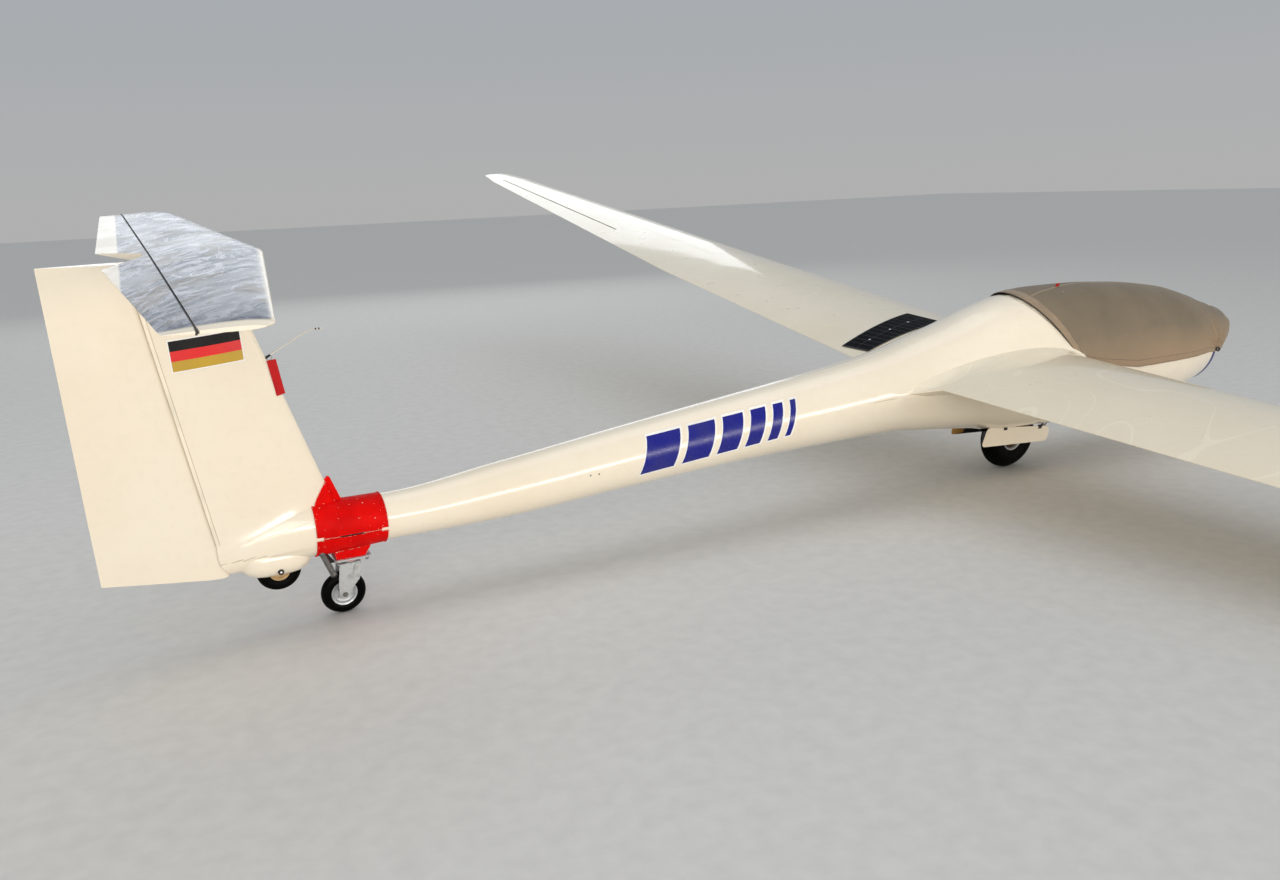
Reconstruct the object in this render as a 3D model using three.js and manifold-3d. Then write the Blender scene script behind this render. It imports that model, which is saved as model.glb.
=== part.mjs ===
// Single-seat T-tail sailplane, parked on its main wheel, a tail dolly and its starboard wing tip.
// Millimetres. Each piece is drawn in the aircraft's own frame: X to the nose, Y to port, Z up,
// with the origin on the floor below the main wheel. The whole aircraft is then rolled about X.

import * as THREE from 'three';
import Module from 'manifold-3d';
import { mergeVertices } from 'three/addons/utils/BufferGeometryUtils.js';

const wasm = await Module();
wasm.setup();

// Driving dimensions
const ROLL_DEG = 6.8;            // starboard wing low, until its tip skid meets the floor
const SEAT_GAP = 0.3;            // between pieces that touch
const MOVING_GAP = 6;            // around a control surface
const HALF_SPAN = 7500;
const ROOT_RIB_Y = 330;
const WALL = 16;                 // cockpit wall
const GLASS = 4;
const GLASS_DEPTH = 5;           // outer face of the glazing below that of its frame

const MAIN_WHEEL = { x: 0, radius: 180, crown: 60, hub: 70, axle: 14, sides: 26 };
const TAIL_WHEEL = { x: -3990, z: 243, radius: 85, crown: 24, hub: 40, axle: 8, sides: 18 };
const CASTER = { x: -3750, radius: 90, crown: 24, hub: 52, axle: 6, sides: 20, pivotX: -3718 };

const FIN_FOOT_Z = 340;
const FIN_TOP_Z = 1447;
const TAIL_Z = 1476;

// Colours
const GELCOAT = 0xefe4d2;
const RED_PAINT = 0xc8190d;
const ZINC = 0x9ea3a6;
const RUBBER = 0x16161a;
const DARK = 0x2b2b2e;
const FABRIC = 0x8f8070;
const CELLS = 0x0b0c12;

function look(color, roughness = 0.35, metalness = 0) {
  return new THREE.MeshStandardMaterial({ color, roughness, metalness });
}

// Closed meshes and their cuts

function closedMesh(points, faces) {
  let volume = 0;
  for (const [a, b, c] of faces) {
    volume += points[a].dot(points[b].clone().cross(points[c]));
  }
  const order = volume < 0 ? ([a, b, c]) => [a, c, b] : (face) => face;
  const geometry = new THREE.BufferGeometry();
  geometry.setAttribute('position', new THREE.Float32BufferAttribute(points.flatMap((p) => p.toArray()), 3));
  geometry.setIndex(faces.flatMap(order));
  return geometry;
}

function solid(geometry) {
  const bare = geometry.clone();
  bare.deleteAttribute('normal');
  bare.deleteAttribute('uv');
  const merged = mergeVertices(bare, 1e-3);
  const vertProperties = new Float32Array(merged.attributes.position.array);
  const triVerts = new Uint32Array(merged.index.array);
  return new wasm.Manifold(new wasm.Mesh({ numProp: 3, vertProperties, triVerts }));
}

function geometryOf(manifold) {
  const mesh = manifold.getMesh();
  const geometry = new THREE.BufferGeometry();
  geometry.setAttribute('position', new THREE.BufferAttribute(new Float32Array(mesh.vertProperties), 3));
  geometry.setIndex(new THREE.BufferAttribute(new Uint32Array(mesh.triVerts), 1));
  return geometry;
}

// Rings of equal length joined in order, closed at both ends by fans
function loft(rings) {
  const count = rings[0].length;
  const points = rings.flat();
  const faces = [];
  for (let k = 0; k + 1 < rings.length; k += 1) {
    for (let i = 0; i < count; i += 1) {
      const a = k * count + i;
      const b = k * count + ((i + 1) % count);
      faces.push([a, b, b + count], [a, b + count, a + count]);
    }
  }
  for (const [ring, flip] of [[0, true], [rings.length - 1, false]]) {
    const middle = new THREE.Vector3();
    rings[ring].forEach((p) => middle.addScaledVector(p, 1 / count));
    points.push(middle);
    for (let i = 0; i < count; i += 1) {
      const a = ring * count + i;
      const b = ring * count + ((i + 1) % count);
      faces.push(flip ? [points.length - 1, b, a] : [points.length - 1, a, b]);
    }
  }
  return solid(closedMesh(points, faces));
}

function block(x0, x1, y0, y1, z0, z1) {
  const box = new THREE.BoxGeometry(x1 - x0, y1 - y0, z1 - z0);
  box.translate((x0 + x1) / 2, (y0 + y1) / 2, (z0 + z1) / 2);
  return solid(box);
}

// A shape in X and Z pulled along Y from y0 to y1
function slabXZ(outline, y0, y1) {
  const rings = [y0, y1].map((y) => outline.map(([x, z]) => new THREE.Vector3(x, y, z)));
  return prism(rings);
}

// A shape in X and Y pulled along Z from z0 to z1
function slabXY(outline, z0, z1) {
  const rings = [z0, z1].map((z) => outline.map(([x, y]) => new THREE.Vector3(x, y, z)));
  return prism(rings);
}

function prism([low, high]) {
  const count = low.length;
  const flat = (p) => (low[0].y === low[1].y && low[1].y === low[2].y
    ? new THREE.Vector2(p.x, p.z) : new THREE.Vector2(p.x, p.y));
  const caps = THREE.ShapeUtils.triangulateShape(low.map(flat), []);
  const turned = THREE.ShapeUtils.isClockWise(low.map(flat));
  const faces = [];
  for (const [a, b, c] of caps) {
    faces.push([a, c, b], [a + count, b + count, c + count]);
  }
  for (let i = 0; i < count; i += 1) {
    const j = (i + 1) % count;
    faces.push(turned ? [i, i + count, j + count] : [i, j, j + count]);
    faces.push(turned ? [i, j + count, j] : [i, j + count, i + count]);
  }
  return solid(closedMesh([...low, ...high], faces));
}

// A round bar, tapered where the two radii differ
function bar(from, to, radius, endRadius = radius, sides = 16) {
  const along = to.clone().sub(from);
  const cylinder = new THREE.CylinderGeometry(endRadius, radius, along.length(), sides);
  cylinder.translate(0, along.length() / 2, 0);
  cylinder.applyQuaternion(new THREE.Quaternion().setFromUnitVectors(
    new THREE.Vector3(0, 1, 0), along.clone().normalize()));
  cylinder.translate(from.x, from.y, from.z);
  return solid(cylinder);
}

// A wheel part turned about the Y axis from a profile of [radius, offset] points. The middles of its
// flats lie on the circle, and one flat faces down, so that the wheel stands firmly on it.
function turned(profile, x, z, sides) {
  const corner = 1 / Math.cos(Math.PI / sides);
  const points = profile.map(([r, y]) => new THREE.Vector2(r * corner, y));
  const lathe = new THREE.LatheGeometry(points, sides);
  lathe.rotateY(Math.PI / sides);
  lathe.translate(x, 0, z);
  return solid(lathe);
}

const at = (x, y, z) => new THREE.Vector3(x, y, z);
const join = (...list) => list.reduce((sum, next) => sum.add(next));

function clamp01(t) {
  return Math.min(1, Math.max(0, t));
}

// Value of one column of a table at x, in straight steps between its rows
function lookUp(table, x, column) {
  const last = table.length - 1;
  const k = Math.min(last - 1, Math.max(0, table.findIndex((row) => row[0] >= x) - 1));
  const t = clamp01((x - table[k][0]) / (table[k + 1][0] - table[k][0]));
  return table[k][column] * (1 - t) + table[k + 1][column] * t;
}

// Fuselage
// columns: x, middle z, half width, height above the middle, depth below it
const FUSELAGE = [
  [-4205, 322, 34, 62, 60],
  [-4080, 346, 52, 82, 82],
  [-3840, 388, 84, 106, 112],
  [-3700, 386, 92, 98, 104],
  [-3541, 385, 96, 96, 96],
  [-3055, 411, 121, 121, 121],
  [-2487, 461, 139, 139, 139],
  [-1842, 512, 161, 161, 161],
  [-1305, 546, 187, 189, 187],
  [-951, 572, 214, 218, 214],
  [-760, 588, 234, 252, 250],
  [-569, 600, 252, 290, 284],
  [-380, 610, 270, 338, 318],
  [-186, 618, 286, 376, 362],
  [60, 622, 302, 392, 378],
  [350, 620, 312, 392, 384],
  [700, 612, 314, 380, 376],
  [1050, 604, 304, 340, 346],
  [1350, 600, 262, 264, 298],
  [1550, 598, 205, 200, 236],
  [1660, 597, 160, 153, 185],
  [1744, 597, 110, 105, 133],
  [1800, 598, 60, 54, 70],
  [1826, 600, 14, 12, 14],
];
const NOSE_X = 1826;
const RING = 24;

function fuselageRing(row, grow) {
  const [x, z, half, up, down] = row;
  const ring = [];
  for (let i = 0; i < RING; i += 1) {
    const a = (i / RING) * 2 * Math.PI;
    const rise = Math.sin(a) > 0 ? up : down;
    ring.push(at(x, Math.cos(a) * (half + grow), z + Math.sin(a) * (rise + grow)));
  }
  return ring;
}

function fuselageBody(grow, from = -4205, to = NOSE_X) {
  const rows = FUSELAGE.filter((row) => row[0] > from && row[0] < to);
  const end = (x) => [x, ...[1, 2, 3, 4].map((c) => lookUp(FUSELAGE, x, c))];
  const inside = [end(from), ...rows, end(to)];
  return loft(inside.map((row) => fuselageRing(row, grow)));
}

// Wing sections
// columns: y, leading edge x, trailing edge x, trailing edge z, thickness over chord
const WING = [
  [150, 190, -1090, 596, 0.17],
  [ROOT_RIB_Y, 135, -885, 654, 0.17],
  [2600, 140, -745, 729, 0.15],
  [7000, 100, -310, 912, 0.13],
  [7400, 60, -240, 931, 0.12],
  [HALF_SPAN, 10, -215, 936, 0.08],
];
const CHORD_STEPS = 14;

// Half thickness of a common wing section at t of the chord, for a thickness of 1
function halfThickness(t) {
  return 5 * (0.2969 * Math.sqrt(t) - 0.126 * t - 0.3516 * t ** 2 + 0.2843 * t ** 3 - 0.1036 * t ** 4);
}

// Section points in order round the outline: chord position and height over chord
function section(thickness, camber) {
  const steps = [];
  for (let i = 0; i <= CHORD_STEPS; i += 1) {
    steps.push((1 - Math.cos((i / CHORD_STEPS) * Math.PI)) / 2);
  }
  const bend = (t) => 4 * camber * t * (1 - t);
  const edge = 0.0012;
  const top = steps.map((t) => [t, bend(t) + halfThickness(t) * thickness + edge * t]);
  const low = steps.slice(1).reverse().map((t) => [t, bend(t) - halfThickness(t) * thickness - edge * t]);
  return [...top, ...low];
}

function wingRing([y, lead, trail, z, thickness], side) {
  const chord = lead - trail;
  return section(thickness, 0.028).map(([t, h]) => at(lead - t * chord, side * y, z + h * chord));
}

function wingSolid(rows, side) {
  return loft(rows.map((row) => wingRing(row, side)));
}

function wingRow(y) {
  return [y, ...[1, 2, 3, 4].map((c) => lookUp(WING, y, c))];
}

// Middle of the section and its half height at a share of the chord
function wingMiddle(y, share, side) {
  const [, lead, trail, z, thickness] = wingRow(y);
  const chord = lead - trail;
  const bend = 4 * 0.028 * share * (1 - share);
  return {
    point: at(lead - share * chord, side * y, z + bend * chord),
    radius: (halfThickness(share) * thickness + 0.0012) * chord,
  };
}

// A control surface cut from a fixed one: everything behind the hinge, with a round nose on it
function splitSurface(whole, a, b, ra, rb, behind, behindWide) {
  const along = b.clone().sub(a).normalize();
  const nose = bar(a, b, ra, rb);
  const gap = along.clone().multiplyScalar(MOVING_GAP);
  const room = bar(a.clone().sub(gap), b.clone().add(gap),
    ra + MOVING_GAP, rb + MOVING_GAP);
  return { moving: whole.intersect(behind.add(nose)), fixed: whole.subtract(behindWide.add(room)) };
}

// Hinges of a control surface: tongues with pins on the fixed piece, and their room in the moving one
const HINGE = { thick: 6, half: 4, ring: 6, pin: 3, pinReach: 14, play: 5, root: 14, sides: 10 };

function tongue(center, along, length) {
  const forward = at(1, 0, 0).addScaledVector(along, -along.x).normalize();
  const box = new THREE.BoxGeometry(length, HINGE.half * 2, HINGE.thick);
  box.translate(length / 2, 0, 0);
  box.applyMatrix4(new THREE.Matrix4().makeBasis(forward, along.clone().cross(forward), along));
  box.translate(center.x, center.y, center.z);
  return solid(box);
}

function hinged({ moving, fixed }, a, b, ra, rb, shares) {
  const along = b.clone().sub(a).normalize();
  const round = (center, reach, radius) => bar(center.clone().addScaledVector(along, -reach),
    center.clone().addScaledVector(along, reach), radius, radius, HINGE.sides);
  let carrier = fixed;
  let carried = moving;
  for (const share of shares) {
    const center = a.clone().lerp(b, share);
    const nose = ra + (rb - ra) * share;
    carrier = join(carrier, tongue(center, along, nose + MOVING_GAP + HINGE.root),
      round(center, HINGE.thick / 2, HINGE.ring), round(center, HINGE.pinReach, HINGE.pin));
    carried = carried
      .subtract(round(center, HINGE.thick / 2 + HINGE.play, nose + HINGE.play))
      .subtract(round(center, HINGE.pinReach + 2, HINGE.pin + SEAT_GAP));
  }
  return { fixed: carrier, moving: carried };
}

const AILERON = { inner: 3950, outer: 6960, share: 0.77, hinges: [0.18, 0.82] };
// Room in the wing, by places along the chord and the span; it is deeper outboard of the airbrake
const HOLLOW = {
  wall: 5,
  front: [0.05, 0.1, 0.17, 0.25, 0.34, 0.43],
  rear: [0.42, 0.52, 0.62, 0.71],
  rearFrom: 3790,
  to: 7150,
};
const BRAKE = { inner: 2650, outer: 3750, share: 0.5, width: 18, blade: 6, depth: 40 };

// One stretch of the room in the wing, over a list of places along the span and one along the chord
function wingRoom(side, stations, shares) {
  return loft(stations.map((y) => {
    const edge = (up) => (share) => {
      const { point, radius } = wingMiddle(y, share, side);
      return point.add(at(0, 0, up * (radius - HOLLOW.wall)));
    };
    return [...shares.map(edge(1)), ...shares.toReversed().map(edge(-1))];
  }));
}

// The room ahead of the spar is open at the root rib
function wingHollow(side) {
  return join(wingRoom(side, [ROOT_RIB_Y, WING[2][0], WING[3][0], HOLLOW.to], HOLLOW.front),
    wingRoom(side, [HOLLOW.rearFrom, WING[3][0], HOLLOW.to], HOLLOW.rear));
}

function wingParts(side) {
  const rows = [wingRow(ROOT_RIB_Y + SEAT_GAP), ...WING.slice(2)];
  const whole = wingSolid(rows, side);
  const a = wingMiddle(AILERON.inner, AILERON.share, side);
  const b = wingMiddle(AILERON.outer, AILERON.share, side);
  const plan = (grow) => slabXY([
    [a.point.x, side * (AILERON.inner - grow)],
    [b.point.x, side * (AILERON.outer + grow)],
    [b.point.x - 900, side * (AILERON.outer + grow)],
    [a.point.x - 900, side * (AILERON.inner - grow)],
  ], 400, 1400);
  const cut = splitSurface(whole, a.point, b.point, a.radius, b.radius, plan(0), plan(MOVING_GAP));
  const split = hinged(cut, a.point, b.point, a.radius, b.radius, AILERON.hinges);
  const brake = brakeParts(side);
  return {
    wing: split.fixed.subtract(brake.slot).subtract(wingHollow(side)),
    aileron: split.moving,
    brake: whole.intersect(brake.cap),
  };
}

function brakeParts(side) {
  const a = wingMiddle(BRAKE.inner, BRAKE.share, side).point;
  const b = wingMiddle(BRAKE.outer, BRAKE.share, side).point;
  const strip = (half, grow, low) => prism([0, 1].map((level) => [
    at(a.x + half, side * (BRAKE.inner - grow), a.z + (level ? 300 : low)),
    at(b.x + half, side * (BRAKE.outer + grow), b.z + (level ? 300 : low)),
    at(b.x - half, side * (BRAKE.outer + grow), b.z + (level ? 300 : low)),
    at(a.x - half, side * (BRAKE.inner - grow), a.z + (level ? 300 : low)),
  ]));
  const half = BRAKE.width / 2;
  const cap = join(strip(half, 0, 25), strip(BRAKE.blade / 2, 0, -BRAKE.depth));
  const slot = join(strip(half + 5.5, 5.5, 19), strip(BRAKE.blade / 2 + 5.5, 5.5, -BRAKE.depth - SEAT_GAP));
  return { cap, slot };
}

// Fin and rudder
// columns: z, leading edge x, trailing edge x, thickness over chord
const FIN = [
  [262, -3690, -4602, 0.085],
  [563, -3783, -4614, 0.09],
  [1198, -3997, -4637, 0.095],
  [1466, -4087, -4647, 0.095],
];
const RUDDER_AXIS = { low: at(-4196, 0, 262), high: at(-4400, 0, 1466) };
const RUDDER = { nose: 30, topNose: 19, frontX: -4240, footZ: 398, hinges: [0.3, 0.82] };
const FIN_CAP_X = -4280;         // behind this the fin stays clear of the elevator

function finRing([z, lead, trail, thickness]) {
  const chord = lead - trail;
  return section(thickness, 0).map(([t, h]) => at(lead - t * chord, h * chord, z));
}

function finParts(body) {
  const whole = loft(FIN.map(finRing));
  const { low, high } = RUDDER_AXIS;
  const axisX = (z) => low.x + ((z - low.z) / (high.z - low.z)) * (high.x - low.x);
  const behind = (grow) => slabXZ([
    [axisX(200), 200], [axisX(1500), 1500], [-5200, 1500], [-5200, 200],
  ], -300, 300);
  const cut = splitSurface(whole, low, high, RUDDER.nose, RUDDER.topNose, behind(), behind());
  const split = hinged(cut, low, high, RUDDER.nose, RUDDER.topNose, RUDDER.hinges);
  const foot = slabXZ([[-4600, 200], [-4100, 200], [-4100, RUDDER.footZ], [RUDDER.frontX, RUDDER.footZ],
    [RUDDER.frontX, 266], [-4610, 307], [-4700, 300]], -300, 300);
  const rudder = split.moving.subtract(foot);
  const fin = split.fixed
    .subtract(block(-5000, FIN_CAP_X, -300, 300, FIN_TOP_Z, 2000))
    .subtract(loft(TAIL.map(tailRing)).translate([0, 0, -SEAT_GAP]))
    .subtract(block(-5000, -3000, -300, 300, 0, FIN_FOOT_Z))
    .subtract(body);
  return { fin, rudder };
}

// Stabilizer and elevator
// columns: y, leading edge x, trailing edge x, thickness over chord
const TAIL = [
  [-1150, -4135, -4384, 0.05],
  [-1120, -4108, -4390, 0.095],
  [0, -3934, -4471, 0.095],
  [1120, -4108, -4390, 0.095],
  [1150, -4135, -4384, 0.05],
];
const ELEVATOR_HINGE_X = -4307;
const ELEVATOR = { nose: 15, tipNose: 8, tipY: 1150, hinges: [0.3, 0.72] };

function tailRing([y, lead, trail, thickness]) {
  const chord = lead - trail;
  return section(thickness, 0).map(([t, h]) => at(lead - t * chord, y, TAIL_Z + h * chord));
}

function tailParts() {
  const whole = loft(TAIL.map(tailRing));
  const { nose, tipNose, tipY } = ELEVATOR;
  const root = at(ELEVATOR_HINGE_X, 0, TAIL_Z);
  const tip = (side) => at(ELEVATOR_HINGE_X, side * tipY, TAIL_Z);
  const halves = [-1, 1].map((side) => splitSurface(whole, root, tip(side), nose, tipNose,
    block(-4700, ELEVATOR_HINGE_X, Math.min(0, side * 1200), Math.max(0, side * 1200), 1300, 1600),
    block(-4700, ELEVATOR_HINGE_X, -1200, 1200, 1300, 1600)));
  const notch = slabXY([[-4326, -34], [-4480, -190], [-4700, -190], [-4700, 190], [-4480, 190], [-4326, 34]],
    1300, 1600);
  let pair = {
    moving: join(halves[0].moving, halves[1].moving).subtract(notch),
    fixed: halves[0].fixed.intersect(halves[1].fixed),
  };
  for (const side of [-1, 1]) {
    pair = hinged(pair, root, tip(side), nose, tipNose, ELEVATOR.hinges);
  }
  return { stabilizer: pair.fixed, elevator: pair.moving };
}

// Cockpit and canopy
// outline of the canopy seen from the side: the sloping rear edge, the sill and the front
const CANOPY = [
  [-190, 1020], [130, 716], [300, 664], [600, 622], [1000, 606], [1290, 622], [1430, 668], [1560, 735],
  [1560, 1100], [-190, 1100],
];
const CANOPY_INSET = [
  [-128, 1000], [158, 736], [320, 700], [600, 660], [1000, 644], [1280, 660], [1410, 704], [1480, 742],
  [1480, 1100], [-128, 1100],
];
const CANOPY_HINGE = { x: 1560, y: 45, z: 800, ring: 5, pin: 2.5, half: 4, ear: 5.5, play: 1.5 };
const CAVITY = { from: -120, to: 1700 };
const WELL = { from: -300, to: 198, half: 106, top: 380, wall: 8 };

function grownOutline(outline, grow) {
  const middle = [700, 900];
  return outline.map(([x, z]) => [x + Math.sign(x - middle[0]) * grow, z - (z < 1090 ? grow : 0)]);
}

function wellBlock(grow) {
  const { from, to, half, top } = WELL;
  return block(from - grow, to + grow, -half - grow, half + grow, 100, top + grow);
}

// Front hinges of the canopy: brackets with pins on the nose, and a pair of ears on the frame at each
function canopyHinges() {
  const { x, y, z, ring, pin, half, ear, play } = CANOPY_HINGE;
  const across = (side, from, to) => [Math.min(side * from, side * to), Math.max(side * from, side * to)];
  const rod = (side, from, to, radius) => bar(at(x, side * from, z), at(x, side * to, z), radius, radius, 12);
  const foot = [[x - 3, z + 4], [x + 3, z + 4], [x + 40, z - 18], [x + 40, z - 34], [x + 10, z - 32],
    [x + 5, z - 6], [x - 3, z - 4]];
  const lug = [[x - 5, z + 4], [x + 4, z + 3], [x + 4, z - 3], [x - 8, z - 12], [x - 12, z - 20],
    [x - 34, z - 17], [x - 34, z - 6]];
  const near = y - half - play;
  const far = y + half + play;
  const reach = ear + 3;
  const brackets = [-1, 1].map((side) => join(slabXZ(foot, ...across(side, y - half, y + half)),
    rod(side, y - half, y + half, ring), rod(side, near - reach, far + reach, pin)));
  const ears = [-1, 1].map((side) => join(slabXZ(lug, ...across(side, near - ear, near)),
    slabXZ(lug, ...across(side, far, far + ear)), rod(side, near - ear, near, ring), rod(side, far, far + ear, ring))
    .subtract(rod(side, near - ear - 1, far + ear + 1, pin + SEAT_GAP)));
  return { brackets: join(...brackets), ears: join(...ears) };
}

function cockpitParts(body) {
  const cavity = fuselageBody(-WALL, CAVITY.from, CAVITY.to).subtract(wellBlock(WELL.wall));
  const opening = slabXZ(grownOutline(CANOPY, 5), -500, 500);
  const hinges = canopyHinges();
  const shell = body.subtract(cavity).subtract(opening).add(hinges.brackets);
  const skin = fuselageBody(0, -300, 1720).subtract(fuselageBody(-WALL, -280, 1700));
  const thinSkin = fuselageBody(-GLASS_DEPTH, -300, 1720)
    .subtract(fuselageBody(-GLASS_DEPTH - GLASS, -280, 1700));
  const whole = slabXZ(CANOPY, -500, 500);
  const inner = slabXZ(CANOPY_INSET, -500, 500);
  const rim = slabXZ(grownOutline(CANOPY_INSET, 12), -500, 500);
  const room = slabXZ(grownOutline(CANOPY_INSET, 13), -500, 500);
  const frame = skin.intersect(whole).subtract(inner).subtract(glassRebate(room)).add(hinges.ears);
  const glass = thinSkin.intersect(rim);
  return { shell, frame, glass };
}

// Rebate inside the frame for the edge of the glazing
function glassRebate(edge) {
  return fuselageBody(-GLASS_DEPTH + SEAT_GAP, -300, 1720).intersect(edge);
}

// Fabric cover: one piece lies on the canopy and lifts with it, the other stays on the nose
const COVER_THICK = 8;
const SKIRT_PLAY = 3;            // lets the skirt pass the widest line of the fuselage
const CANOPY_COVER = [
  [-196, 1030], [122, 700], [300, 640], [600, 592], [1000, 584], [1240, 592], [1400, 640], [1522, 700],
  [1522, 1100], [-196, 1100],
];
const NOSE_COVER = [
  [900, 582], [1250, 568], [1450, 536], [1680, 500], [1760, 510], [1812, 560], [1900, 760], [1900, 1100],
  [900, 1100],
];

// The fuselage's surface moved out by one distance sideways and by another up and down
function clothBody(sideways, upward, from, to) {
  const rows = FUSELAGE.map(([x, z, half, up, down]) => [x, z, half + sideways, up + upward, down + upward]);
  return loft(rows.filter((row) => row[0] > from && row[0] < to).map((row) => fuselageRing(row, 0)));
}

function coverParts() {
  const lifting = clothBody(SKIRT_PLAY + COVER_THICK, SEAT_GAP + COVER_THICK, -400, 1700)
    .subtract(clothBody(SKIRT_PLAY, SEAT_GAP, -600, 1800));
  const staying = fuselageBody(SEAT_GAP + COVER_THICK, 800, NOSE_X - 12)
    .subtract(fuselageBody(SEAT_GAP, 700));
  const hingeRoom = block(1500, CANOPY_HINGE.x + 50, -80, 80, 720, 1100);
  const noseCover = staying
    .intersect(slabXZ(NOSE_COVER, -500, 500))
    .subtract(slabXZ(grownOutline(CANOPY_COVER, MOVING_GAP), -500, 500))
    .subtract(slabXZ(grownOutline(CANOPY, MOVING_GAP), -500, 500))
    .subtract(hingeRoom);
  return { canopyCover: lifting.intersect(slabXZ(CANOPY_COVER, -500, 500)), noseCover };
}

// Cockpit fittings
function cockpitFittings() {
  const room = fuselageBody(-WALL - SEAT_GAP, CAVITY.from + 2, CAVITY.to - 2);
  const seat = slabXZ([
    [-46, 850], [40, 640], [168, 448], [345, 330], [560, 318], [800, 372], [1040, 360],
    [1040, 348], [800, 358], [560, 304], [339, 316], [156, 436], [26, 634], [-60, 846],
  ], -290, 290).intersect(room);
  const panel = slabXZ([[1000, 760], [1020, 770], [1140, 742], [1140, 420], [1120, 372], [1120, 200], [1070, 200],
    [1070, 372]], -150, 150).intersect(room);
  const stick = join(bar(at(700, 0, 345), at(690, 0, 560), 11, 9), bar(at(690, 0, 540), at(684, 0, 650), 17, 15))
    .subtract(slabXZ([[560, 318.3], [800, 372.3], [800, 300], [560, 300]], -60, 60));
  return { seat, panel, stick };
}

// Wheels
function tyreProfile({ radius, crown, hub }) {
  const middle = radius - crown;
  const profile = [[hub, -crown * 0.72]];
  for (let i = 0; i <= 8; i += 1) {
    const a = (-0.62 + (1.24 * i) / 8) * Math.PI;
    profile.push([middle + Math.cos(a) * crown, Math.sin(a) * crown]);
  }
  profile.push([hub, crown * 0.72], [hub, -crown * 0.72]);
  return profile;
}

function rimProfile({ hub, crown, axle }) {
  const edge = hub - SEAT_GAP;
  const half = crown * 0.72;
  return [
    [axle, -half], [edge * 0.45, -half], [edge * 0.6, -half * 0.55], [edge * 0.86, -half * 0.55],
    [edge, -half], [edge, half], [edge * 0.86, half], [edge * 0.6, half * 0.55],
    [edge * 0.45, half * 0.8], [edge * 0.45, half], [axle, half], [axle, -half],
  ];
}

// Height of a rolled wheel's axle in the aircraft's frame, so that its tyre meets the floor
function axleHeight({ radius, crown }) {
  return radius - crown + crown / Math.cos(THREE.MathUtils.degToRad(ROLL_DEG));
}

function wheel(spec, z) {
  const tyre = turned(tyreProfile(spec), spec.x, z, spec.sides);
  const rim = turned(rimProfile(spec), spec.x, z, spec.sides);
  return { tyre, rim };
}

// Main gear

function mainGear(z) {
  const { x, axle, crown } = MAIN_WHEEL;
  const reach = crown + 16;
  const arm = 10;
  const axleBar = bar(at(x, -reach - arm, z), at(x, reach + arm, z), axle - SEAT_GAP);
  const arms = [-1, 1].map((side) => slabXZ(
    [[x - 24, z - 22], [x + 24, z - 22], [x + 120, WELL.top - 0.3], [x + 40, WELL.top - 0.3]],
    Math.min(side * reach, side * (reach + arm)), Math.max(side * reach, side * (reach + arm))));
  const top = block(x + 20, x + 140, -reach - arm, reach + arm, WELL.top - 12, WELL.top - SEAT_GAP);
  return join(axleBar, ...arms, top);
}

function gearDoor(side) {
  const inner = side * 114;
  const outer = side * 118;
  const outline = [[-296, 330], [192, 290], [195, 190], [188, 166], [162, 152], [-326, 198]];
  return slabXZ(outline, Math.min(inner, outer), Math.max(inner, outer)).subtract(fuselageBody(SEAT_GAP));
}

// Tail dolly
const CLAMP = { from: -3852, to: -3576, thick: 4 };
const CLAMP_EAR = [
  [-3852, 400], [-3852, 450], [-3832, 510], [-3800, 558], [-3768, 585], [-3730, 470], [-3730, 400],
];
const PLATE = { from: -3782, to: -3638, half: 52, z: 245, thick: 6 };
const LEVER = { top: at(-3834, -50, 304), foot: at(-3791, -50, 190), radius: 9 };
const SLIT = { low: 369, high: 373, edgeLow: 358, edgeHigh: 384, edge: 26 };

function grownFin(grow) {
  return loft(FIN.map(([z, lead, trail, t]) => finRing([z, lead + grow, trail - grow, t + 0.0018 * grow])));
}

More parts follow.
